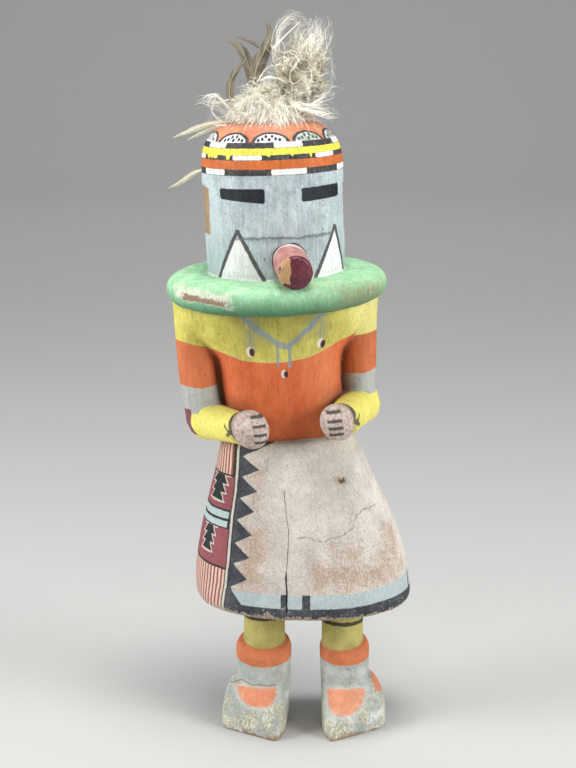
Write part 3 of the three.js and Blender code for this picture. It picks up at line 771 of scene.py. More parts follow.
def kilt_paint():
    """The kilt: its cloth, the hem, the sash and the cracks."""
    p = Paint("kilt_paint")
    x, y, z0 = p.xyz()
    wob = p.noise(2.8, 1, 0.5, 1) - 0.5
    wob2 = p.noise(2.2, 1, 0.5, 2) - 0.5
    grain = p.noise(0.9, 3, 0.65, 11, (1, 1, 6))
    cloud = p.noise(9, 3, 0.55, 12)
    z = z0 + wob * 0.45
    degrees = p.degrees(x, y) + wob2 * 0.7
    scale = 1.46 - z0 * 0.0083 - abs(degrees) * 0.0004  # millimetres a degree
    raw_strip, phase, _ = p.xyz("sash")
    strip = raw_strip + wob2 * 0.4
    crack, plaster, short = p.xyz("cracks")

    # the off-white cloth, with its brown rubbed areas
    cloth = p.patchy((206, 196, 188), (230, 222, 212), cloud)
    areas = []
    drift = p.noise(6, 4, 0.6, 40) - 0.5
    for lo, hi, bottom, top, amount in ((-50, -24, 72, 110, 1.0), (-48, -29, 104, 138, 0.75), (0, 68, 73, 93, 1.0),
                                        (16, 46, 84, 101, 0.8), (56, 78, 76, 106, 0.9), (120, 172, 74, 96, 0.6),
                                        (-150, -112, 74, 92, 0.6)):
        a = p.low(p.band(degrees, lo, hi) * 0.1, p.band(z0, bottom, top) * 0.1)
        areas.append(p.ramp(a, 1, drift * 2.2) * amount)
    areas = p.high(*areas)
    speck = p.noise(0.8, 4, 0.7, 41, (1, 1, 1.8))
    plaster_ = p.noise(0.85, 3, 0.7, 43)
    cloth = p.tone(cloth, 1 + (plaster_ - 0.5) * 0.4)
    rubbed = areas * 0.22 + speck - 0.65
    low_middle = p.low(p.ramp(104 - z0, 0.05), p.ramp(22 - abs(degrees + 10), 0.08))
    cloth = p.tone(cloth, 1 - low_middle * 0.13)
    blotch = p.ramp(p.noise(5, 4, 0.7, 42, (1, 1, 1.5)), 3, -0.8)
    cloth = p.mix(cloth, (198, 170, 148), p.ramp(areas, 0.5) * blotch)
    # painted light: the cloth lighter round the right side
    cloth = p.tone(cloth, 1 + p.ramp(degrees - 44, 0.04) * 0.1)
    cloth = p.coat(cloth, p.mix((160, 128, 104), (194, 164, 140), grain), rubbed, 0.2, 0.66)
    ink = p.mix((60, 63, 70), (104, 106, 110), p.ramp(cloud * 0.5 + speck * 0.5, 4, -1.7))

    # black teeth at the sash's right
    tooth = p.math("PINGPONG", phase, 0.5) * 2
    reach = 2.7 + tooth * (7.3 + p.low(p.high(z - 135, 0.0), 1.8)) + p.low(p.high(z - 136.5, 0.0), 1.6)
    teeth = p.low(reach - strip, z - 66, strip - 0.6)
    colour = p.coat(cloth, ink, teeth * 0.8)

    # the hem: a blue band over a black one, and two black bars
    lift = p.low(p.high(degrees - 30, 0.0) * 0.05, 2.2)
    hem_top, hem_low = 75.2 + lift, 68.9 + lift * 0.75
    start = (degrees + 49.5) * scale - (76 - z) * 0.95
    behind = -(degrees + 99) * scale  # past the sash's left edge, round at the back
    blue = p.mix((178, 194, 198), (200, 210, 208), cloud)
    colour = p.coat(colour, blue, p.low(hem_top - z, p.high(start, behind)), 0.35)
    colour = p.coat(colour, ink, p.low(hem_low - z, p.high(strip - 1.2, behind)), 0.35)
    bars = p.high(*[(h - abs(degrees - c)) * scale
                    for c, h in ((-14.4, 2.2), (0.2, 2.7), (78, 1.0), (176, 2.4), (-165, 2.2))])
    bars = p.low(bars, hem_top + 0.2 - z)
    flecks = p.edge(p.noise(1.0, 1, 0.5, 44) - 0.70, 0.05)
    low_band = p.edge(hem_low - 0.5 - z0, 1.0) * p.edge(strip - 1.2, 0.5)
    colour = p.mix(colour, (196, 194, 188), flecks * low_band * 0.8)
    colour = p.coat(colour, p.mix(ink, (190, 196, 200), flecks), bars)

    # the sash: striped ends, and two maroon fields with a stepped black tree, parted by blue bars
    red_ = p.mix((148, 80, 86), (172, 102, 106), cloud)
    stripe = p.math("PINGPONG", raw_strip / 2.3 + 0.25, 0.5) * 2
    sash = p.coat((168, 84, 76), (230, 204, 188), stripe - 0.45)
    slant = (degrees + 55) * 0.03  # the lower rows fall a little to the left
    fields = p.high(p.band(z, 110.4, 125.6), p.band(z + p.high(slant, -1.0), 84.2, 102.0))
    sash = p.coat(sash, red_, fields)
    step = 3.95  # the height of one step of a tree
    for c, top, half in ((-73.5, 125.6, 4.3), (-72.5, 101.8, 3.9)):
        u, v = abs((degrees - c) * scale), (top - z) / step
        for paint, late, wider, first, last in (((222, 208, 196), 0.16, 1.0, 0.0, 3.2),  # the pale rim, then the tree
                                                ((48, 54, 54), 0.0, 0.0, 0.02, 2.95)):
            wide = half * 0.42 + p.math("FRACT", v - late) * (half * 0.58) + wider
            sash = p.coat(sash, paint, p.low(wide - u, p.band(v, first, last) * step))
    blues = p.low(p.high(p.band(z, 106.5, 109.6), p.band(z, 102.5, 105.3)), -(degrees + 57.4) * scale)
    sash = p.coat(sash, (60, 58, 60), p.band(z, 101.9, 110.6))
    sash = p.coat(sash, (194, 212, 210), blues)
    lines_ = p.high(0.42 - abs(z - 125.9), 0.5 - abs(z - 84.0 + p.high(slant, -1.0)))
    sash = p.coat(sash, (60, 52, 52), lines_)
    colour = p.coat(colour, sash, p.low(-strip, (degrees + 98) * scale))
    dark_line = p.high(1.2 - abs(strip), p.low(strip + 2.4, -strip, z - 126), 0.5 - abs(degrees + 98) * scale)
    colour = p.coat(colour, (58, 56, 56), dark_line)
    colour = p.coat(colour, (220, 216, 202), 0.62 - abs(strip))

    # the worn hem edge shows the wood, and so does the underside
    chip = p.noise(3.4, 3, 0.65, 45)
    worn = 64.6 + (chip - 0.5) * 6 + (speck - 0.5) * 3 + p.low(3, p.high(0.0, 3.5 - abs(degrees + 25)) * 0.9) - z0
    colour = p.coat(colour, p.mix((132, 98, 74), (226, 214, 196), p.ramp(speck, 4, -1.6)), worn, 0.4, 0.9)

    # above the waist's edge it is the trunk's orange
    orange = p.patchy((196, 96, 52), (222, 128, 82), cloud)
    colour = p.coat(colour, orange, z0 - 141.4 + wob * 0.8, 0.5)

    # the split in the wood, and the thinner cracks in the paint
    deep = p.edge(85 - z0, 3.0)
    jag = p.noise(1.4, 3, 0.7, 47) - 0.5
    near = p.low(0.1 + deep * 0.3 - abs(crack + wob2 * 0.6 + jag * 0.7), p.band(z0, 67.0, 121) * 0.3)
    split = p.edge(near + (chip - 0.52) * 0.5, 0.22)
    thin = p.high(
        p.low(0.17 - abs(plaster + wob * 0.8 + jag * 3), p.band(degrees, -6, 62) * 0.08),
        p.low(0.15 - abs(short), p.band(z0, 129.5, 135.5) * 0.2),
        p.low(0.14 - abs(plaster - (degrees - 34) * 0.9 - 1 + jag * 4), p.band(degrees, 33, 42) * 0.08),
        p.low(0.14 - abs(plaster - (54 - degrees) * 1.6 + jag * 4), p.band(degrees, 45, 54) * 0.08))
    thin = p.edge(thin + (cloud - 0.5) * 0.25, 0.25)
    smear = p.low((5.5 - abs(degrees - 38)) * 0.4, 1.6 - abs(z0 - 122.9 + (degrees - 40) * 0.1)) + (speck - 0.5) * 5
    colour = p.coat(colour, (176, 148, 122), smear, 1.2, 0.55)
    hole = p.low((2.6 - abs(degrees - 39.5)) * 0.6, 0.9 - abs(z0 - 122.9)) + (speck - 0.5) * 2.6
    hole = p.edge(hole, 0.5)
    colour = p.mix(colour, (108, 82, 60), hole * 0.9)
    for c, h, r in ((64, 118, 1.2), (63, 102, 1.3), (22, 137, 1.0), (13, 123, 0.9), (21, 97, 0.9)):
        gap = p.away((degrees - c) * scale * math.sqrt(0.5), z0 - h)
        hole = p.high(hole, p.edge(r - gap, 0.9) * 0.35)
    colour = p.mix(colour, (92, 76, 62), p.ramp(hole, 0.35))
    colour = p.mix(colour, (96, 80, 70), thin * 0.7)
    colour = p.mix(colour, (44, 26, 18), split * 0.92)
    spots = p.noise(2.8, 4, 0.7, 15, (1, 1, 1.3))
    wear = p.number("edge") * 0.16 + spots - 0.86
    colour, height = aged(p, colour, wear, 0.7, (190, 172, 152), rough=0.55, stretch=1.6)
    height = height - split * 2.2 - thin * 0.5 - hole * 0.8 - p.edge(rubbed, 0.2) * 0.35 + plaster_ * 3.0
    return p.finish(colour, 0.78, height, 0.32, 0.25)


def boot_paint():
    """The legs and the boots."""
    p = Paint("boot_paint")
    x, y, z0 = p.xyz()
    wob = p.noise(2.8, 1, 0.5, 1) - 0.5
    grain = p.noise(1.0, 3, 0.6, 11, (1, 1, 1.5))
    cloud = p.noise(6, 3, 0.55, 12)
    z = z0 + wob * 0.6
    left = p.math("LESS_THAN", x, 0.0)
    out = abs(x)
    yellow = p.patchy((176, 164, 94), (196, 188, 112), cloud)
    yellow = p.mix(yellow, (140, 130, 76), p.ramp(grain, 5, -3.1) * 0.5)
    orange = p.mix((202, 108, 64), (222, 136, 92), cloud)
    grey = p.patchy((168, 174, 170), (192, 196, 188), cloud)
    # the leg inside its cuff: the distance from the leg's own axis tells them apart
    from_leg = p.away(out - 18.2, y) - 9.9
    tilt = z - y * 0.16
    cuff = p.band(tilt, 33.5, 60)
    foot_rise = p.noise(0.75, 3, 0.7, 51)
    area_ = p.noise(7, 2, 0.5, 52)
    low_part = p.ramp(20 - z0, 0.12)
    wash = p.noise(6, 4, 0.6, 53)
    colour = p.mix(grey, (138, 166, 162), p.ramp(wash, 6, -3.2) * 0.65)
    colour = p.mix(colour, (232, 236, 228), p.ramp(wash + (left - 1) * 0.07, -7, 3.3) * (0.3 + low_part * 0.6))
    colour = p.coat(colour, orange, cuff, 0.4)
    speck = p.edge(foot_rise + low_part * 0.14 + (area_ - 0.5) * 0.7 - 0.62, 0.09)
    colour = p.mix(colour, p.mix((232, 228, 204), (160, 148, 108), p.ramp(grain, 4, -1.6)),
                   speck * 0.85 * p.edge(30 - z0, 6))
    # the half moons on the vamps
    level = z + y * 0.22  # level lines as they are seen from the front
    for c, half, top, deep, side, warm in ((21.9, 9.2, 18.6, 9.0, left, ((236, 138, 96), (246, 170, 134))),
                                           (20.0, 8.8, 17.6, 11.6, 1 - left, ((248, 152, 110), (254, 188, 154)))):
        u = (out - c + (top - level) * 0.1) / half
        v = p.high((top - level) / deep, 0.0)
        moon = (1 - p.math("POWER", p.math("POWER", abs(u), 2.4) + p.math("POWER", v, 2.4), 1 / 2.4)) * 6
        moon = p.only(p.low(moon, top - level, -y - 2), side)
        colour = p.coat(colour, (224, 226, 216), moon + 1.0 + (wash - 0.5) * 3, 1.5, 0.6)
        colour = p.coat(colour, p.mix(*warm, cloud), moon + (foot_rise - 0.5) * 1.6, 0.6)
        colour = p.mix(colour, (232, 214, 200), p.edge(moon, 0.6) * p.ramp(wash, 5, -2.8) * 0.6)
    inward = 36.2 - out
    crescent = p.only(p.low(z - 16.0 - inward * inward * 0.33, p.band(z, 15, 27.8), y + 6), 1 - left)
    colour = p.coat(colour, p.mix((226, 140, 104), (236, 164, 130), cloud), crescent, 0.4)
    back_moon = p.low(6.5 - abs(out - 17.5), p.band(z, 9, 20), y - 12)
    colour = p.coat(colour, (222, 142, 108), back_moon, 0.5)
    # worn toe and sole edges
    chip = p.noise(3.0, 3, 0.65, 45)
    toe = 0.6 + (chip - 0.5) * 9 + p.ramp(-y - 14, 0.35) * 1.2 - z0
    colour = p.coat(colour, p.mix((164, 126, 98), (190, 158, 130), grain), toe, 0.8, 0.85)
    # legs
    colour = p.coat(colour, yellow, p.low(-from_leg, z0 - 36), 0.4)
    garter = p.low(1.0 - abs(z - 53.8 + (1 - left) * 2.6 + wob * 0.3), -from_leg)
    colour = p.coat(colour, (46, 42, 36), garter, 0.3, 0.92)
    # painted light: a paler band under the ridge over the vamp, for a fold that is not carved; the ridge itself is a
    # brown line
    ridge = level - 18.9 - p.high(2.0 - abs(out - 28.5) * 0.42, 0.0) - p.noise(4, 1, 0.5, 46) * 1.6
    fold = p.only(p.low(p.band(ridge, -1.8, 0.2), p.band(out, 13, 35), -y - 1), left)
    colour = p.coat(colour, (206, 196, 178), fold, 1.2, 0.45)
    ridge = p.edge(p.only(p.low(0.3 - abs(ridge), p.band(out, 13, 35), -y - 1), left), 0.5)
    colour = p.mix(colour, (132, 112, 88), ridge * 0.7)
    spots = p.noise(2.6, 4, 0.7, 15, (1, 1, 1.2))
    wear = p.number("edge") * 0.2 + spots - 0.83
    colour, height = aged(p, colour, wear, 1.0, rough=0.4, stretch=1.5)
    return p.finish(colour, 0.7, height + speck * 0.4 - ridge * 0.8, 0.3)


def snout_paint():
    """The snout: pink, with a maroon end chipped to the wood."""
    p = Paint("snout_paint")
    across, along, up = p.xyz("peg")
    grain = p.noise(1.2, 3, 0.6, 11, (1, 4, 1), "peg")
    cloud = p.noise(3.5, 3, 0.55, 12, name="peg")
    pink = p.mix((166, 102, 96), (194, 142, 134), p.ramp(cloud, 3.0, -1.0))
    maroon = p.mix((74, 16, 34), (114, 38, 56), p.ramp(cloud, 2.4, -0.7))
    end = along - 46.6 + (cloud - 0.5) * 1.8
    colour = p.coat(pink, maroon, end, 0.6)
    ring = abs(p.away(across - 1.6, up + 0.6) - 6.6)
    chip = p.low(1.2 - ring * 0.55, -2.8 - across, up + 3.8, along - 45.2) + (cloud - 0.5) * 3.2
    colour = p.coat(colour, (208, 168, 120), chip + 0.25)
    colour = p.coat(colour, p.mix((166, 128, 84), (190, 150, 100), grain), chip)
    rubbed = p.noise(1.6, 3, 0.65, 13, name="peg") - 0.72
    colour = p.coat(colour, (222, 196, 182), rubbed, 0.1, 0.6)
    rooted = p.low(31.7 - along, up - 1) + (cloud - 0.5) * 5
    colour = p.coat(colour, (226, 218, 212), rooted, 0.5, 0.7)
    height = grain * 0.4 + cloud * 0.5 - p.edge(chip, 0.4) * 0.8
    return p.finish(colour, 0.34 + cloud * 0.12 + p.edge(chip, 0.3) * 0.3, height, 0.3, 0.5)


def down_paint():
    p = Paint("down_fluff")
    tint = p.number("tint")
    # the tint carries the down's colour and its painted shade; low tints go dark
    colour = p.mix((158, 140, 106), (255, 253, 242), tint)
    colour = p.mix((112, 98, 76), colour, p.ramp(tint, 3.8))
    warm = p.noise(7, 2, 0.5, 3)
    colour = p.mix(colour, (240, 224, 184), p.ramp(warm, 2.5, -1.0) * 0.4)
    height = p.noise(0.6, 2, 0.6, 5)
    return p.finish(colour, 0.9, height, 0.1, 0.15, 0.6)


def feather_paint(name, dark, pale):
    p = Paint(name)
    across, along, _ = p.xyz("blade")
    barbs = p.noise(0.45, 2, 0.6, 3, (3, 1, 1), "blade")
    bars = p.noise(5, 2, 0.5, 4, (2, 1, 1), "blade")
    colour = p.mix(dark, pale, p.ramp(barbs * 0.6 + bars * 0.7, 2.2, -0.95))
    shaft = p.edge(0.12 - abs(across), 0.1)
    colour = p.mix(colour, p.mix(pale, (214, 204, 182), 0.3), shaft * 0.4)
    return p.finish(colour, 0.6, barbs, 0.12, 0.3)


# ---- the carved block ----
def carve():
    """The figure's one block, with its four paints."""
    points, faces = surface((-54, -54, -2.5), (54, 54, 285), GRID, distance)
    normal = unit(gradient(points, distance))
    x, y, z = points.T
    # how open each point is to the room; aged() paints grime and shade where it is low
    opened = np.mean([np.clip(distance(*(points + normal * d).T) / d, 0, 1) for d in (1.5, 4, 8)], 0)
    inner = points - normal * 1.6
    edge = np.clip(1 + distance(*inner.T) / 1.6, 0, 1)
    part = {name: np.minimum(distance(x, y, z, [name]), 6) for name in PARTS}
    degrees = np.degrees(np.arctan2(x, -y))
    scale = np.radians(1) * np.hypot(x, y)
    # painted lines, as tables from the angle round the block or the height: the yellow chest's lower edge, the
    # necklace, the sash's right edge, the black teeth beside it, and the cracks in the wood and the plaster
    border = np.interp(degrees, [-80, -68, -60, -50, -40, -30, 0, 20, 30, 40, 50, 58, 75],
                       [184, 183.3, 181.5, 179.7, 178.7, 178, 177.6, 178.3, 179, 180.5, 182.5, 184.5, 186])
    border = np.where(np.abs(degrees) > 80, 184.5, border)
    necklace = np.interp(degrees, [-50, -42, -38, -30, -20, -10, 0, 3, 10, 20, 30, 36, 42, 50],
                         [206, 200.5, 197, 193, 190, 186.5, 184.4, 184, 186, 190, 193.5, 197, 202, 208])
    strip = np.interp(z, [65, 70, 77, 87.5, 98, 109, 120, 130, 139],
                      [-55, -53.7, -52.4, -52.5, -53.5, -54.6, -54.9, -56.3, -58.5])
    teeth = np.interp(z, [64, 76.4, 81, 87.3, 90.7, 96.6, 101, 107, 111.4, 116.8, 120.3, 126.3, 129.7, 135.2, 141.5],
                      [0.25, 1, 1.5, 2, 2.5, 3, 3.5, 4, 4.5, 5, 5.5, 6, 6.5, 7, 7.5])
    crack = np.interp(z, [69, 77, 82, 85, 91, 99, 105, 110.5, 117, 121],
                      [-12.8, -12.8, -13.5, -13.5, -12.8, -12, -11.8, -13.2, -14, -14.5])
    plaster = np.interp(degrees, [-5.5, 0, 6, 10, 15, 20, 28, 33, 37.5, 39.5, 43, 50, 60],
                        [100.4, 101, 100.2, 98.5, 98.4, 100, 100.2, 102, 103, 105.5, 108, 109.8, 110])
    attributes = {
        "rest": points, "open": opened, "edge": edge, "join_arm": part["trunk"] - part["arm"],
        "join_head": np.where(z > 212, part["head"] - part["ruff"], 6),
        "join_ruff": np.minimum(part["trunk"], part["arm"]) - part["ruff"],
        "lines": np.stack([z - border, z - necklace, z * 0], 1),
        "sash": np.stack([(degrees - strip) * scale, teeth, z * 0], 1),
        "cracks": np.stack([(degrees - crack) * scale, z - plaster, (degrees + 28 + (135 - z) * 0.5) * scale], 1),
    }
    # the knife's facets, the worn rims and the set-back lower face
    facets = value_noise(points * [1, 1, 0.55], 7, 1) * 0.16 + value_noise(points, 3.2, 2) * 0.05
    rim = value_noise(points, 4, 3)
    lift = facets - np.clip(edge - 0.3, 0, 1) * np.clip(rim + 0.2, 0, 1) * 0.55
    front = np.clip((40 - np.abs(degrees)) / 12, 0, 1) * (part["head"] < 0.5)
    level = 233.0 + value_noise(points * [1, 1, 0], 9, 4) * 0.6
    lift = lift - front * 0.5 * np.clip((level - z) / 0.8, 0, 1) * np.clip((z - 214) / 16, 0, 1)
    lift = lift - 0.8 * np.clip(1.2 - np.abs((degrees - crack) * scale), 0, 1) * np.clip((88 - z) / 6, 0, 1) * (
        (z > 67) & (part["kilt"] < 0.6))
    ruff_chip = np.clip(1 - ((degrees + 47) / 18) ** 2, 0, 1) * np.clip(1 - ((z - 208) / 4) ** 2, 0, 1)
    lift = lift - 0.8 * ruff_chip * (part["ruff"] < 0.6)
    sole = np.clip((z - 0.4) / 2, 0, 1)  # the soles stay flat on the floor
    moved = settle(points + normal * (lift * sole)[:, None])
    moved[:, 2] = np.maximum(moved[:, 2], 0)
    made = add_mesh("figure_carving", moved, faces, attributes)
    middle = points[faces].mean(1)
    # each face takes the paint of the part it is nearest to, with the borders moved to where the paints change
    near = np.stack([distance(*middle.T, only=[name]) for name in PARTS])
    near[0] -= 1.5
    near[1] -= np.where(middle[:, 2] > 206, 0.5, -1.2)
    near[4] -= np.where(middle[:, 2] > 136, 1.5, 0)
    which = np.array([0, 0, 1, 1, 2, 3])[np.argmin(near, 0)]
    for paint in (mask_paint(), body_paint(), kilt_paint(), boot_paint()):
        made.data.materials.append(paint)
    made.data.polygons.foreach_set("material_index", which.astype(np.int32))
    return made


def turned(name, profile, count, jitter, material):
    """The snout: a lathe along its own peg, with slight knife marks."""
    c, s = math.cos(SNOUT["droop"]), math.sin(SNOUT["droop"])
    rest = np.array([[r * math.cos(2 * math.pi * i / count), along, r * math.sin(2 * math.pi * i / count)]
                     for r, along in profile for i in range(count)])
    out = value_noise(rest, 4.5, 8) * jitter + value_noise(rest, 1.8, 9) * jitter * 0.4
    p = rest + rest * [1, 0, 1] / SNOUT["radius"] * out[:, None]
    p[:, 1] += out * 0.8 * (rest[:, 1] > 46)
    along, up = p[:, 1] - MASK_RADIUS, p[:, 2]
    q = np.stack([p[:, 0] + SNOUT["x"], -along * c - up * s - MASK_RADIUS, -along * s + up * c + SNOUT["z"]], 1)
    made = add_mesh(name, settle(q), rings(len(profile), count), {"rest": q, "peg": rest})
    made.data.materials.append(material)
    return made


carving = carve()
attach(carving, "root")
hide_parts("figure")

radius, back = SNOUT["radius"], SNOUT["back"]
profile = [(0.01, back), (7.0, back), (7.3, 25.6)] + [(radius, a) for a in np.linspace(26.2, 46.8, 22)]
profile += [(radius - 1.7 * (1 - math.cos(t)), 46.9 + 1.9 * math.sin(t)) for t in np.linspace(0.15, math.pi / 2, 8)]
profile += [(r, 48.9 + 0.6 * (1 - (r / 5.6) ** 2)) for r in np.linspace(5.2, 0.01, 10)]
snout = turned("snout_peg", profile, 72, 0.22, snout_paint())
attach(snout, "root")
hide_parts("snout")

# ---- the down: strands and barbs, grown from a soft bundle on the crown ----
LUMPS = [((-14.6, 0, 286), (18.5, 15.5, 7.0)), ((-17, 0, 290), (9, 9, 6)), ((-2.4, 0.5, 298), (10.4, 9.8, 12.5)),
         ((-1.5, 0.5, 306), (8.8, 7.8, 7.5))]


def bundle(x, y, z):
    f = np.full(x.shape, 9.0)
    for at, size in LUMPS:
        f = smin(f, ball(x, y, z, at, size), 5)
    return f


def spin(v, axis, angle):
    """Turns each vector about its own axis."""
    c, s = np.cos(angle)[:, None], np.sin(angle)[:, None]
    return v * c + np.cross(axis, v) * s + axis * (axis * v).sum(1, keepdims=True) * (1 - c)


def ribbons(paths, width, tint, rng):
    """Flat strands along paths (strand, point, axis), facing out and narrowing to the tip, and their tint."""
    n, m, _ = paths.shape
    along = unit(np.gradient(paths, axis=1))
    middle = np.clip(paths[:, :, 2] - 6, 280, 308)
    out = paths - np.stack([0.42 * (middle - 280) - 14.6, middle * 0, middle], 2)
    side = unit(np.cross(along, unit(out) + rng.normal(0, 0.35, (n, 1, 3))))
    taper = np.linspace(1, 0.25, m)[None, :, None]
    w = np.broadcast_to(np.asarray(width, float).reshape(-1, 1, 1), (n, m, 1)) * taper / 2
    points = np.stack([paths - side * w, paths + side * w], 2).reshape(-1, 3)
    return points, strips(n, m), np.repeat(np.clip(tint, 0, 1).reshape(n, -1) * np.ones((1, m)), 2, axis=1).ravel()


def grow(start, heading, length, steps, bend, rng, fall=0.0, wander=0.0):
    """Strands that leave start along heading and curl, each about an axis of its own."""
    n = len(start)
    axis = unit(np.cross(heading, rng.normal(size=(n, 3))))
    turn = bend * rng.normal(0, 1, n) / steps
    path, here, go = [start], start, unit(heading)
    for _ in range(steps):
        go = spin(go, axis, turn)
        drift = np.stack([value_noise(here, 4.5, s) for s in (11, 12, 13)], 1) * wander if wander else 0
        go = unit(go + drift + np.array([0, 0, -fall]))
        here = here + go * (length / steps)[:, None]
        path.append(here)
    return np.stack(path, 1)


def on_bundle(n, rng, inside, keep):
    """Points spread over the bundle's surface, and the way out from it."""
    found, out = np.zeros((0, 3)), np.zeros((0, 3))
    while len(found) < n:
        p = rng.uniform([-38, -18, 278], [12, 18, 320], (3000, 3))
        p = p[np.abs(bundle(*p.T)) < 2.5]
        for _ in range(3):
            g = gradient(p, bundle)
            p = p - g * (bundle(*p.T) / np.maximum((g * g).sum(1), 0.1))[:, None]
        p = p[keep(p)]
        g = unit(gradient(p, bundle))
        found, out = np.concatenate([found, p - g * inside]), np.concatenate([out, g])
    return found[:n], out[:n]


def plumules(n, rng, keep, reach, barbs, fall, lift):
    """Small down feathers: a curling shaft with fine barbs on both sides."""
    start, out = on_bundle(n, rng, 2.5, keep)
    flow = np.stack([value_noise(start, 9, s) for s in (21, 22, 23)], 1)
    heading = unit(out * 0.5 + flow * 1.2 + np.array([0, 0, lift]) + rng.normal(0, 0.3, (n, 3)))
    shafts = grow(start, heading, rng.uniform(*reach, n), 8, 2.8, rng, fall, 0.2)
    tone = rng.uniform(0.55, 1.0, n)
    sets = [ribbons(shafts, 0.26, tone + 0.1, rng)]
    along = unit(np.gradient(shafts, axis=1))
    which = np.repeat(np.arange(n), barbs)
    t = rng.uniform(0.12, 1.0, n * barbs) * 7.99
    k = np.minimum(t.astype(int), 7)
    f = (t - k)[:, None]
    root = shafts[which, k] * (1 - f) + shafts[which, k + 1] * f
    away = unit(np.cross(along[which, k], rng.normal(size=(n * barbs, 3))))
    heading = unit(along[which, k] * 0.75 + away)
    paths = grow(root, heading, rng.uniform(1.6, 4.2, n * barbs) * (1.15 - t / 14), 4, 1.9, rng, fall * 0.6, 0.12)
    # painted shade: barbs darker the deeper they lie in the bundle
    depth = np.clip((bundle(*paths.reshape(-1, 3).T).reshape(paths.shape[:2]) + 2.0) / 5.5, 0, 1)
    # darker in the middle of the upper mass, and lighter low at the left
    tone_by_place = 1 - 0.36 * np.exp(-(((paths[:, :, 2] - 303) / 8) ** 2 + ((paths[:, :, 0] + 1) / 13) ** 2))
    tone_by_place = tone_by_place + 0.5 * np.exp(-(((paths[:, :, 2] - 289) / 7) ** 2 + ((paths[:, :, 0] + 21) / 9) ** 2))
    tint = (tone[which] + rng.normal(0, 0.08, n * barbs))[:, None] * (0.5 + 0.5 * depth) * tone_by_place
    sets.append(ribbons(paths, rng.uniform(0.11, 0.2, n * barbs), tint, rng))
    return sets


def merge(sets):
    points, faces, tints, count = [], [], [], 0
    for p, f, t in sets:
        points.append(p)
        faces.append(f + count)
        tints.append(t)
        count += len(p)
    return np.concatenate(points), np.concatenate(faces), np.concatenate(tints)


def spline(rows, count):
    rows = np.asarray(rows, float)
    at = np.concatenate([[0], np.cumsum(np.linalg.norm(np.diff(rows, axis=0), axis=1))])
    table = np.concatenate([at[:, None], rows], 1)
    return np.stack(between(table, np.linspace(0, at[-1], count)), 1)


def lock(rows, strands, spread, width, tint, rng, count=14, fray=1.0):
    """Strands that keep together along a line and part at its end."""
    line = spline(rows, count)
    t = np.linspace(0, 1, count)[None, :, None]
    offset = rng.normal(0, spread, (strands, 1, 3)) * (0.5 + t * fray)
    sway = np.sin(t * rng.uniform(4, 13, (strands, 1, 1)) + rng.uniform(0, 6, (strands, 1, 1))) * rng.normal(
        0, spread * 0.5 + 0.35, (strands, 1, 3)) * (0.3 + t * 0.7)
    reach = rng.uniform(0.7, 1.0, strands) if strands > 1 else np.ones(1)
    paths = line[None] + offset + sway
    keep = np.clip(np.linspace(0, 1, count)[None, :] * reach[:, None], 0, 1) * (count - 1)
    k = np.minimum(keep.astype(int), count - 2)
    f = (keep - k)[..., None]
    rowsi = np.arange(strands)[:, None]
    paths = paths[rowsi, k] * (1 - f) + paths[rowsi, k + 1] * f
    return ribbons(paths, width, np.full(strands, tint) + rng.normal(0, 0.06, strands), rng)


def down_piece(name, sets, material):
    points, faces, tint = merge(sets)
    for at, r in (((-6.8, -9, 301.5), 4.6), ((5.8, -9, 303.5), 3.4), ((-5, -6, 314.5), 3.4)):  # painted shade in three hollows of the down
        tint = tint * (1 - 0.92 * np.exp(-((points - at) ** 2).sum(1) / r**2))
    made = add_mesh(name, points + FEET, faces, {"rest": points, "tint": tint})
    made.data.materials.append(material)
    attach(made, "root")
    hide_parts("down_tuft")
    return made


def drape(angles, start, reach, width):
    """Strands that leave the bundle at these angles round the crown and hang down over the dome."""
    n = len(angles)
    s, c = np.sin(angles), -np.cos(angles)
    r0, r2 = rng.uniform(9, 15, n), rng.uniform(*reach, n)
    side = rng.normal(0, 2.6, n)
    ends = np.stack([-15.2 + s * r2 + c * side, 1 + c * r2 - s * side], 1)
    r = np.hypot(ends[:, 0] + 15.2, ends[:, 1] - 1.8)
    dome = DOME_FOOT + DOME_RISE * np.clip(1 - (r / MASK_RADIUS) ** DOME_POWER, 0, 1) ** (1 / DOME_POWER)
    a = np.stack([-14.6 + s * r0, c * r0 * 0.8, rng.uniform(*start, n)], 1)
    b = np.stack([ends[:, 0], ends[:, 1], dome + rng.uniform(0.5, 2.2, n)], 1)
    m = (a + b) / 2 + rng.normal(0, 1.8, (n, 3)) + np.stack([s * 2, c * 2, np.full(n, 1.5)], 1)
    t = np.linspace(0, 1, 12)[None, :, None]
    wave = np.sin(t * rng.uniform(3, 9, (n, 1, 1)) + rng.uniform(0, 6, (n, 1, 1))) * rng.normal(0, 0.5, (n, 1, 3)) * t
    paths = a[:, None] * (1 - t) ** 2 + m[:, None] * 2 * t * (1 - t) + b[:, None] * t**2 + wave
    return ribbons(paths, rng.uniform(*width, n), rng.uniform(0.75, 1.05, n), rng)


def curls(n, keep, lift):
    """Loose bright strands that curl over the down."""
    start, out = on_bundle(n, rng, 0.5, keep)
    heading = np.cross(out, rng.normal(size=(n, 3))) + out * rng.uniform(0.15, 0.6, (n, 1))
    heading = unit(heading + np.array([0, 0, lift]))
    paths = grow(start, heading, rng.uniform(5, 14, n), 16, 5.2, rng, 0.0, 0.16)
    return ribbons(paths, rng.uniform(0.22, 0.42, n), rng.uniform(0.95, 1.2, n), rng)


def wisp(points, y, strands=1, spread=0.0, width=0.35, tint=1.0, fray=1.0):
    """A lock through points given as millimetres across and up, y deep."""
    rows = [(px, y + 0.6 * i, pz) for i, (px, pz) in enumerate(points)]
    return lock(rows, strands, spread, width, tint, rng, 16, fray)


def dome_side(p):
    """Which points are clear of the crown."""
    return p[:, 2] > 281.5


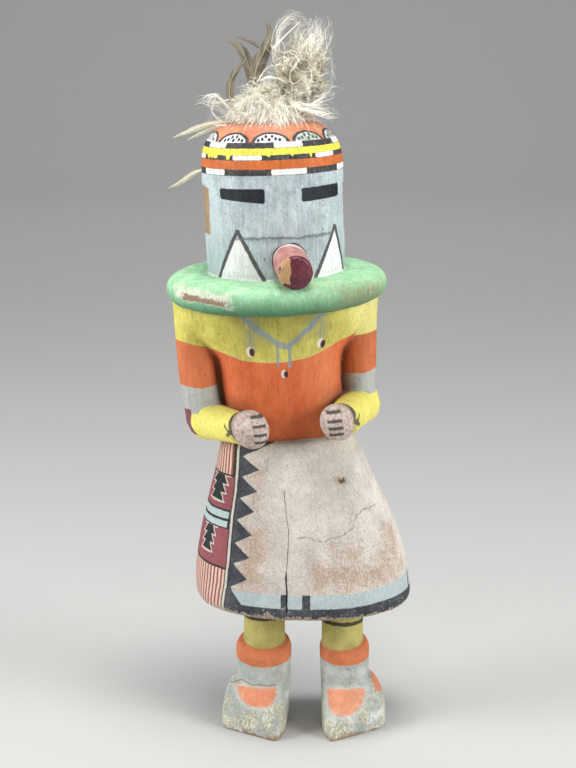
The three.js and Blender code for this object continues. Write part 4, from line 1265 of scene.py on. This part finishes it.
rng = np.random.default_rng(7)
fluff = down_paint()
core_points, core_faces = surface((-40, -20, 274), (14, 20, 324), 1.6, lambda x, y, z: bundle(x, y, z) + 1.8)
core_points = core_points + unit(gradient(core_points, bundle)) * value_noise(core_points, 3.4, 5)[:, None] * 1.3
core = (core_points, core_faces, 0.65 + 0.3 * value_noise(core_points, 2.2, 6))
low_sets = [core]
low_sets += plumules(265, rng, lambda p: dome_side(p) & (p[:, 2] < 298), (3.5, 7.5), 40, 0.05, 0.1)
low_sets += plumules(160, rng, lambda p: dome_side(p) & (p[:, 2] < 296) & (p[:, 1] < -3), (4, 8), 40, 0.08, 0.05)
low_sets.append(drape(rng.uniform(-math.pi, math.pi, 500), (283, 287), (15, 20), (0.14, 0.26)))
low_sets.append(drape(rng.normal(0, 0.8, 420), (283, 288), (16, 22), (0.16, 0.32)))
low_sets.append(drape(rng.normal(0.25, 0.14, 110), (284, 291), (18, 24), (0.18, 0.32)))
low_sets.append(drape(rng.normal(-0.75, 0.3, 260), (287, 293), (14, 20), (0.14, 0.26)))
low_sets.append(drape(rng.normal(0, 0.9, 44), (283, 288), (22, 28), (0.24, 0.36)))
tall_sets = plumules(330, rng, lambda p: p[:, 2] > 293, (3, 7), 44, 0.0, 0.12)
tall_sets.append(curls(300, lambda p: p[:, 2] > 294, 0.1))
tall_sets.append(curls(150, lambda p: (p[:, 2] > 308) & (p[:, 0] > -2), 0.9))
low_sets.append(curls(260, lambda p: dome_side(p) & (p[:, 2] < 297), 0.0))
tall_sets += [
    wisp([(-12.5, 306), (-12, 316), (-9, 322.5), (-3, 324.6), (4, 321)], -1, 34, 1.5, 0.17, 0.95, 0.5),
    wisp([(-12.5, 312), (-10.5, 321), (-5.5, 325.5), (0, 323)], -3, 9, 0.8, 0.3, 1.0, 0.8),
    wisp([(-10, 320), (-5, 326.5), (0.5, 325.5)], 0, 26, 1.0, 0.14, 0.95, 1.2),
    wisp([(-5, 315), (-3, 320.5), (2, 322), (5, 318)], 2, 30, 1.5, 0.16, 0.9, 0.8),
    wisp([(-3, 311), (0.5, 315), (4, 318.5), (7, 324)], -5, 16, 1.2, 0.26, 1.1, 0.9),
    wisp([(1, 309), (2.5, 315), (1.0, 319), (3.5, 323)], -6, 14, 1.1, 0.28, 1.1, 1.0),
    wisp([(4.5, 314), (4.0, 318), (5.2, 322), (3.6, 328.5)], -3, 3, 0.15, 0.3, 1.1, 0.8),
    wisp([(8, 306), (9.8, 314), (8.8, 319), (10.8, 323), (9.0, 328.5)], -2, 4, 0.2, 0.34, 1.1, 0.9),
    wisp([(9.5, 312), (11.6, 318), (10.0, 324)], 1, 9, 0.7, 0.24, 1.0, 1.0),
    wisp([(2, 313), (6.5, 318), (7, 323.5)], 0, 12, 0.8, 0.28, 1.1, 1.4),
    wisp([(5, 311), (7.5, 317), (5.0, 321), (8.2, 324.5)], -4, 9, 0.5, 0.32, 1.1, 1.4),
    wisp([(6, 308), (8, 318), (6, 325)], 3, 30, 1.3, 0.17, 0.95, 1.0),
    wisp([(11, 311), (12, 304), (11.8, 296), (13, 293.5)], -4, 10, 0.35, 0.3, 1.0, 2.0),
    wisp([(-3.4, 306), (-6.4, 301.5), (-5.2, 297.5), (-1.5, 299.5), (2.2, 304)], -13.5, 2, 0.12, 0.5, 1.0),
    wisp([(2.4, 303.5), (2.8, 300), (1.6, 297.5)], -13.5, 2, 0.2, 0.4, 1.0),
    wisp([(-20.5, 298), (-17.5, 302.5), (-14, 305.5)], -12.5, 3, 0.2, 0.35, 1.0),
    wisp([(-19, 299), (-14, 300.5), (-8.5, 298.5), (-5, 296.5)], -14.5, 5, 0.3, 0.35, 1.0),
]
low_sets += [
    wisp([(-5, 289), (3, 286.5), (11, 286)], -13, 6, 0.7, 0.38, 1.1, 1.3),
    wisp([(-3, 287), (6, 284.5), (12.5, 283.6), (12.6, 286.5)], -12, 7, 0.7, 0.38, 1.1, 1.0),
    wisp([(3, 288), (8, 291.5), (12.4, 294.5)], -10, 8, 0.6, 0.36, 1.1, 1.2),
    wisp([(0, 288), (6, 285.8), (12, 282.6)], -9, 9, 0.9, 0.36, 1.1, 1.2),
    wisp([(0, 288), (7, 287), (12, 284)], -8, 22, 1.1, 0.2, 0.95, 1.4),
    wisp([(-33, 287), (-37, 291.5), (-41, 292), (-42.5, 289), (-40, 287.5)], -5, 9, 0.55, 0.34, 1.1, 0.9),
    wisp([(-34, 288), (-39, 292), (-43, 290.5), (-45, 286.5)], -4, 9, 0.6, 0.34, 1.1, 1.3),
    wisp([(-33, 290), (-38, 288.5), (-42, 290), (-44, 292.5)], -2, 6, 0.5, 0.36, 1.1, 1.4),
    wisp([(-36, 281), (-40, 285), (-39, 290), (-37, 294)], -6, 6, 0.5, 0.36, 1.1, 1.2),
    wisp([(-33.5, 279.5), (-40.2, 281), (-40.4, 286), (-36, 288.5)], -8, 4, 0.35, 0.38, 1.1, 0.8),
    wisp([(-34, 284), (-40, 288), (-46, 286)], -3, 20, 1.3, 0.2, 0.95, 1.4),
]
quill = spline([(-13.5, -8, 312.4), (-8, -8.5, 318), (-2.2, -9, 323.4)], 8)
tall_sets.append(ribbons(np.repeat(quill[None], 5, 0) + rng.normal(0, 0.06, (5, 1, 3)), 0.75, np.full(5, 1.0), rng))
down_piece("down_low", low_sets, fluff)
down_piece("down_tall", tall_sets, fluff)


# ---- the feathers ----
BARB, SHAFT = 7, 6  # points along a barb, and round the shaft


def feather(name, node, rows, half, paint, count=160, reach=0.2, split=0.1, ragged=0.05, seed=1):
    """A feather: a shaft, and barbs on both sides that end on the vane's outline."""
    rng = np.random.default_rng(seed)
    line = spline(rows, count)
    along = unit(np.gradient(line, axis=0))
    deep = unit(np.array([0, 1, 0]) - along * along[:, 1:2])
    wide = np.cross(deep, along)
    t = np.linspace(0, 1, count)
    steps = np.linspace(0, 1, BARB)
    sets, blade = [], []
    for side in (-1, 1):
        clump = value_noise(np.stack([t * 40, t * 0, t * 0 + side], 1), 3.0, seed) * split
        end = np.clip(t + reach * (1 - 0.4 * t) * (1 + clump + rng.normal(0, ragged, count)), 0, 1)
        width = np.interp(end, [0, 0.1, 0.4, 0.75, 1], [0.4, 0.85, 1, 0.66, 0]) * half * (
            1 + clump * 0.8 + rng.normal(0, ragged * 0.5, count))
        at = (t[:, None] + (end - t)[:, None] * steps) * (count - 1.001)
        k = np.clip(at.astype(int), 0, count - 2)
        f = (at - k)[..., None]
        off = side * width[:, None] * steps**0.8
        paths = line[k] * (1 - f) + line[k + 1] * f + wide[k] * off[..., None] + deep[k] * (
            off**2 * 0.12 + 0.04 * (np.arange(count) % 2)[:, None])[..., None]
        gap = np.linalg.norm(line[-1] - line[0]) / count * 0.8
        normal = unit(np.cross(unit(np.gradient(paths, axis=1)), deep[k])) * gap
        points = np.stack([paths - normal, paths + normal], 2).reshape(-1, 3)
        u = np.repeat(off.ravel(), 2)
        v = np.repeat(t * 30 + rng.uniform(-0.4, 0.4, count), 2 * BARB)
        sets.append((points, strips(count, BARB), u))
        blade.append(np.stack([u, v, u * 0], 1))
    ring = np.linspace(0, 2 * math.pi, SHAFT, endpoint=False)
    r = np.linspace(0.42, 0.12, count) * (0.6 + 0.2 * half)
    tube = line[:, None] + (wide[:, None] * np.cos(ring)[None, :, None] + deep[:, None] * np.sin(ring)[None, :, None]
                            ) * r[:, None, None]
    none = np.zeros(count * SHAFT)
    sets.append((tube.reshape(-1, 3), np.array(rings(count, SHAFT)), none))
    blade.append(np.stack([none, np.repeat(t * 30, SHAFT), none], 1))
    points, faces, _ = merge(sets)
    made = add_mesh(name, points + FEET, faces, {"blade": np.concatenate(blade)})
    made.data.materials.append(paint)
    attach(made, "root")
    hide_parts(node)
    return made


brown = feather_paint("brown_vane", (104, 94, 80), (176, 165, 146))
pale = feather_paint("pale_vane", (214, 204, 170), (246, 242, 222))
feather("feather_low_vane", "feather_low", [(-31.5, 3, 286), (-32.8, 4, 294), (-30.8, 4.5, 301), (-25, 5, 308)], 1.7,
        brown, seed=2)
feather("feather_curl_vane", "feather_curl", [(-21.5, 5.5, 292), (-23.9, 7, 302), (-25.4, 7.5, 307), (-28.6, 8, 312.4),
                                              (-35, 8, 316)], 2.5, brown, 180, 0.24, 0.25, seed=3)
feather("feather_tall_vane", "feather_tall", [(-23, 2, 292), (-20.6, 2, 304), (-17.4, 2, 311), (-15, 2, 317.5),
                                              (-16.8, 2, 324.6)], 3.1, brown, 180, 0.2, seed=4)
feather("feather_thin_vane", "feather_thin", [(-12.5, 9, 310), (-19.5, 11.5, 312.5), (-24, 12, 314.8),
                                              (-30.2, 12, 317)], 0.8, brown, 120, 0.2, seed=5)
feather("plume_crown_vane", "plume_crown", [(-30, -4, 280.6), (-38, -4, 280.4), (-47.5, -3, 277.8), (-57.5, -2, 273.8)],
        1.2, pale, 160, 0.5, 0.4, 0.15, 6)
feather("plume_crown_vane_2", "plume_crown", [(-31, -4, 279.4), (-39, -3.5, 278.6), (-45.5, -2.5, 275.6),
                                              (-51.5, -2, 272.6)], 0.9, pale, 140, 0.5, 0.4, 0.15, 8)
feather("plume_side_vane", "plume_side", [(-41.5, 12, 259.5), (-49, 13, 257), (-55, 13.5, 253), (-61, 14, 250)],
        1.1, pale, 150, 0.5, 0.4, 0.15, 7)

# ---- the floor, the light and the camera ----
sweep = [(0.00001, 0), (1.0, 0), (2.4, 0)] + [(2.4 + 1.4 * math.sin(t), 1.4 - 1.4 * math.cos(t))
                                            for t in np.linspace(0.1, math.pi / 2, 14)] + [(3.8, 2.4)]
turns = np.linspace(0, 2 * math.pi, 96, endpoint=False)
rim = np.array([(r * math.cos(a), r * math.sin(a), h) for r, h in sweep for a in turns])
floor = add_mesh("floor", rim * 1000, rings(len(sweep), len(turns)))
ground = Paint("pale_floor")
floor.data.materials.append(ground.finish(linear((198, 197, 194)), 0.9, None, shine=0.1))

world = bpy.data.worlds.new("studio")
bpy.context.scene.world = world
world.use_nodes = True
back = world.node_tree.nodes["Background"]
back.inputs[0].default_value = (0.80, 0.84, 0.90, 1)
back.inputs[1].default_value = 0.36


def area(name, at, look, size, power, colour=(1, 1, 1)):
    lamp = bpy.data.lights.new(name, "AREA")
    lamp.shape, lamp.size, lamp.energy, lamp.color = "DISK", size, power, colour
    o = bpy.data.objects.new(name, lamp)
    o.location = at
    o.rotation_mode = "QUATERNION"
    o.rotation_quaternion = (Vector(look) - Vector(at)).to_track_quat("-Z", "Y")
    bpy.context.scene.collection.objects.link(o)


area("key", (0.05, -0.28, 1.4), (0, 0, 0.15), 0.55, 11.5, (1, 0.985, 0.96))
area("right", (0.85, -0.5, 0.45), (0, 0, 0.12), 0.5, 8.0, (0.97, 0.99, 1))
area("left", (-0.9, -0.3, 0.45), (0, 0, 0.12), 0.5, 8.5, (0.96, 0.98, 1))
area("backdrop", (0, 1.9, 1.9), (0, 2.9, 0.1), 1.4, 12, (1, 1, 1))

camera = bpy.data.cameras.new("camera")
camera.lens, camera.sensor_width, camera.sensor_fit = 79.69, 36, "AUTO"
camera.clip_start, camera.clip_end = 0.02, 60
eye = bpy.data.objects.new("camera", camera)
eye.location = (-0.00121, -0.75165, 0.32956)
eye.rotation_euler = (math.radians(90 - 12.5), 0, 0)
bpy.context.scene.collection.objects.link(eye)
bpy.context.scene.camera = eye
bpy.context.scene.view_settings.view_transform = "Standard"
bpy.context.scene.view_settings.look = "None"
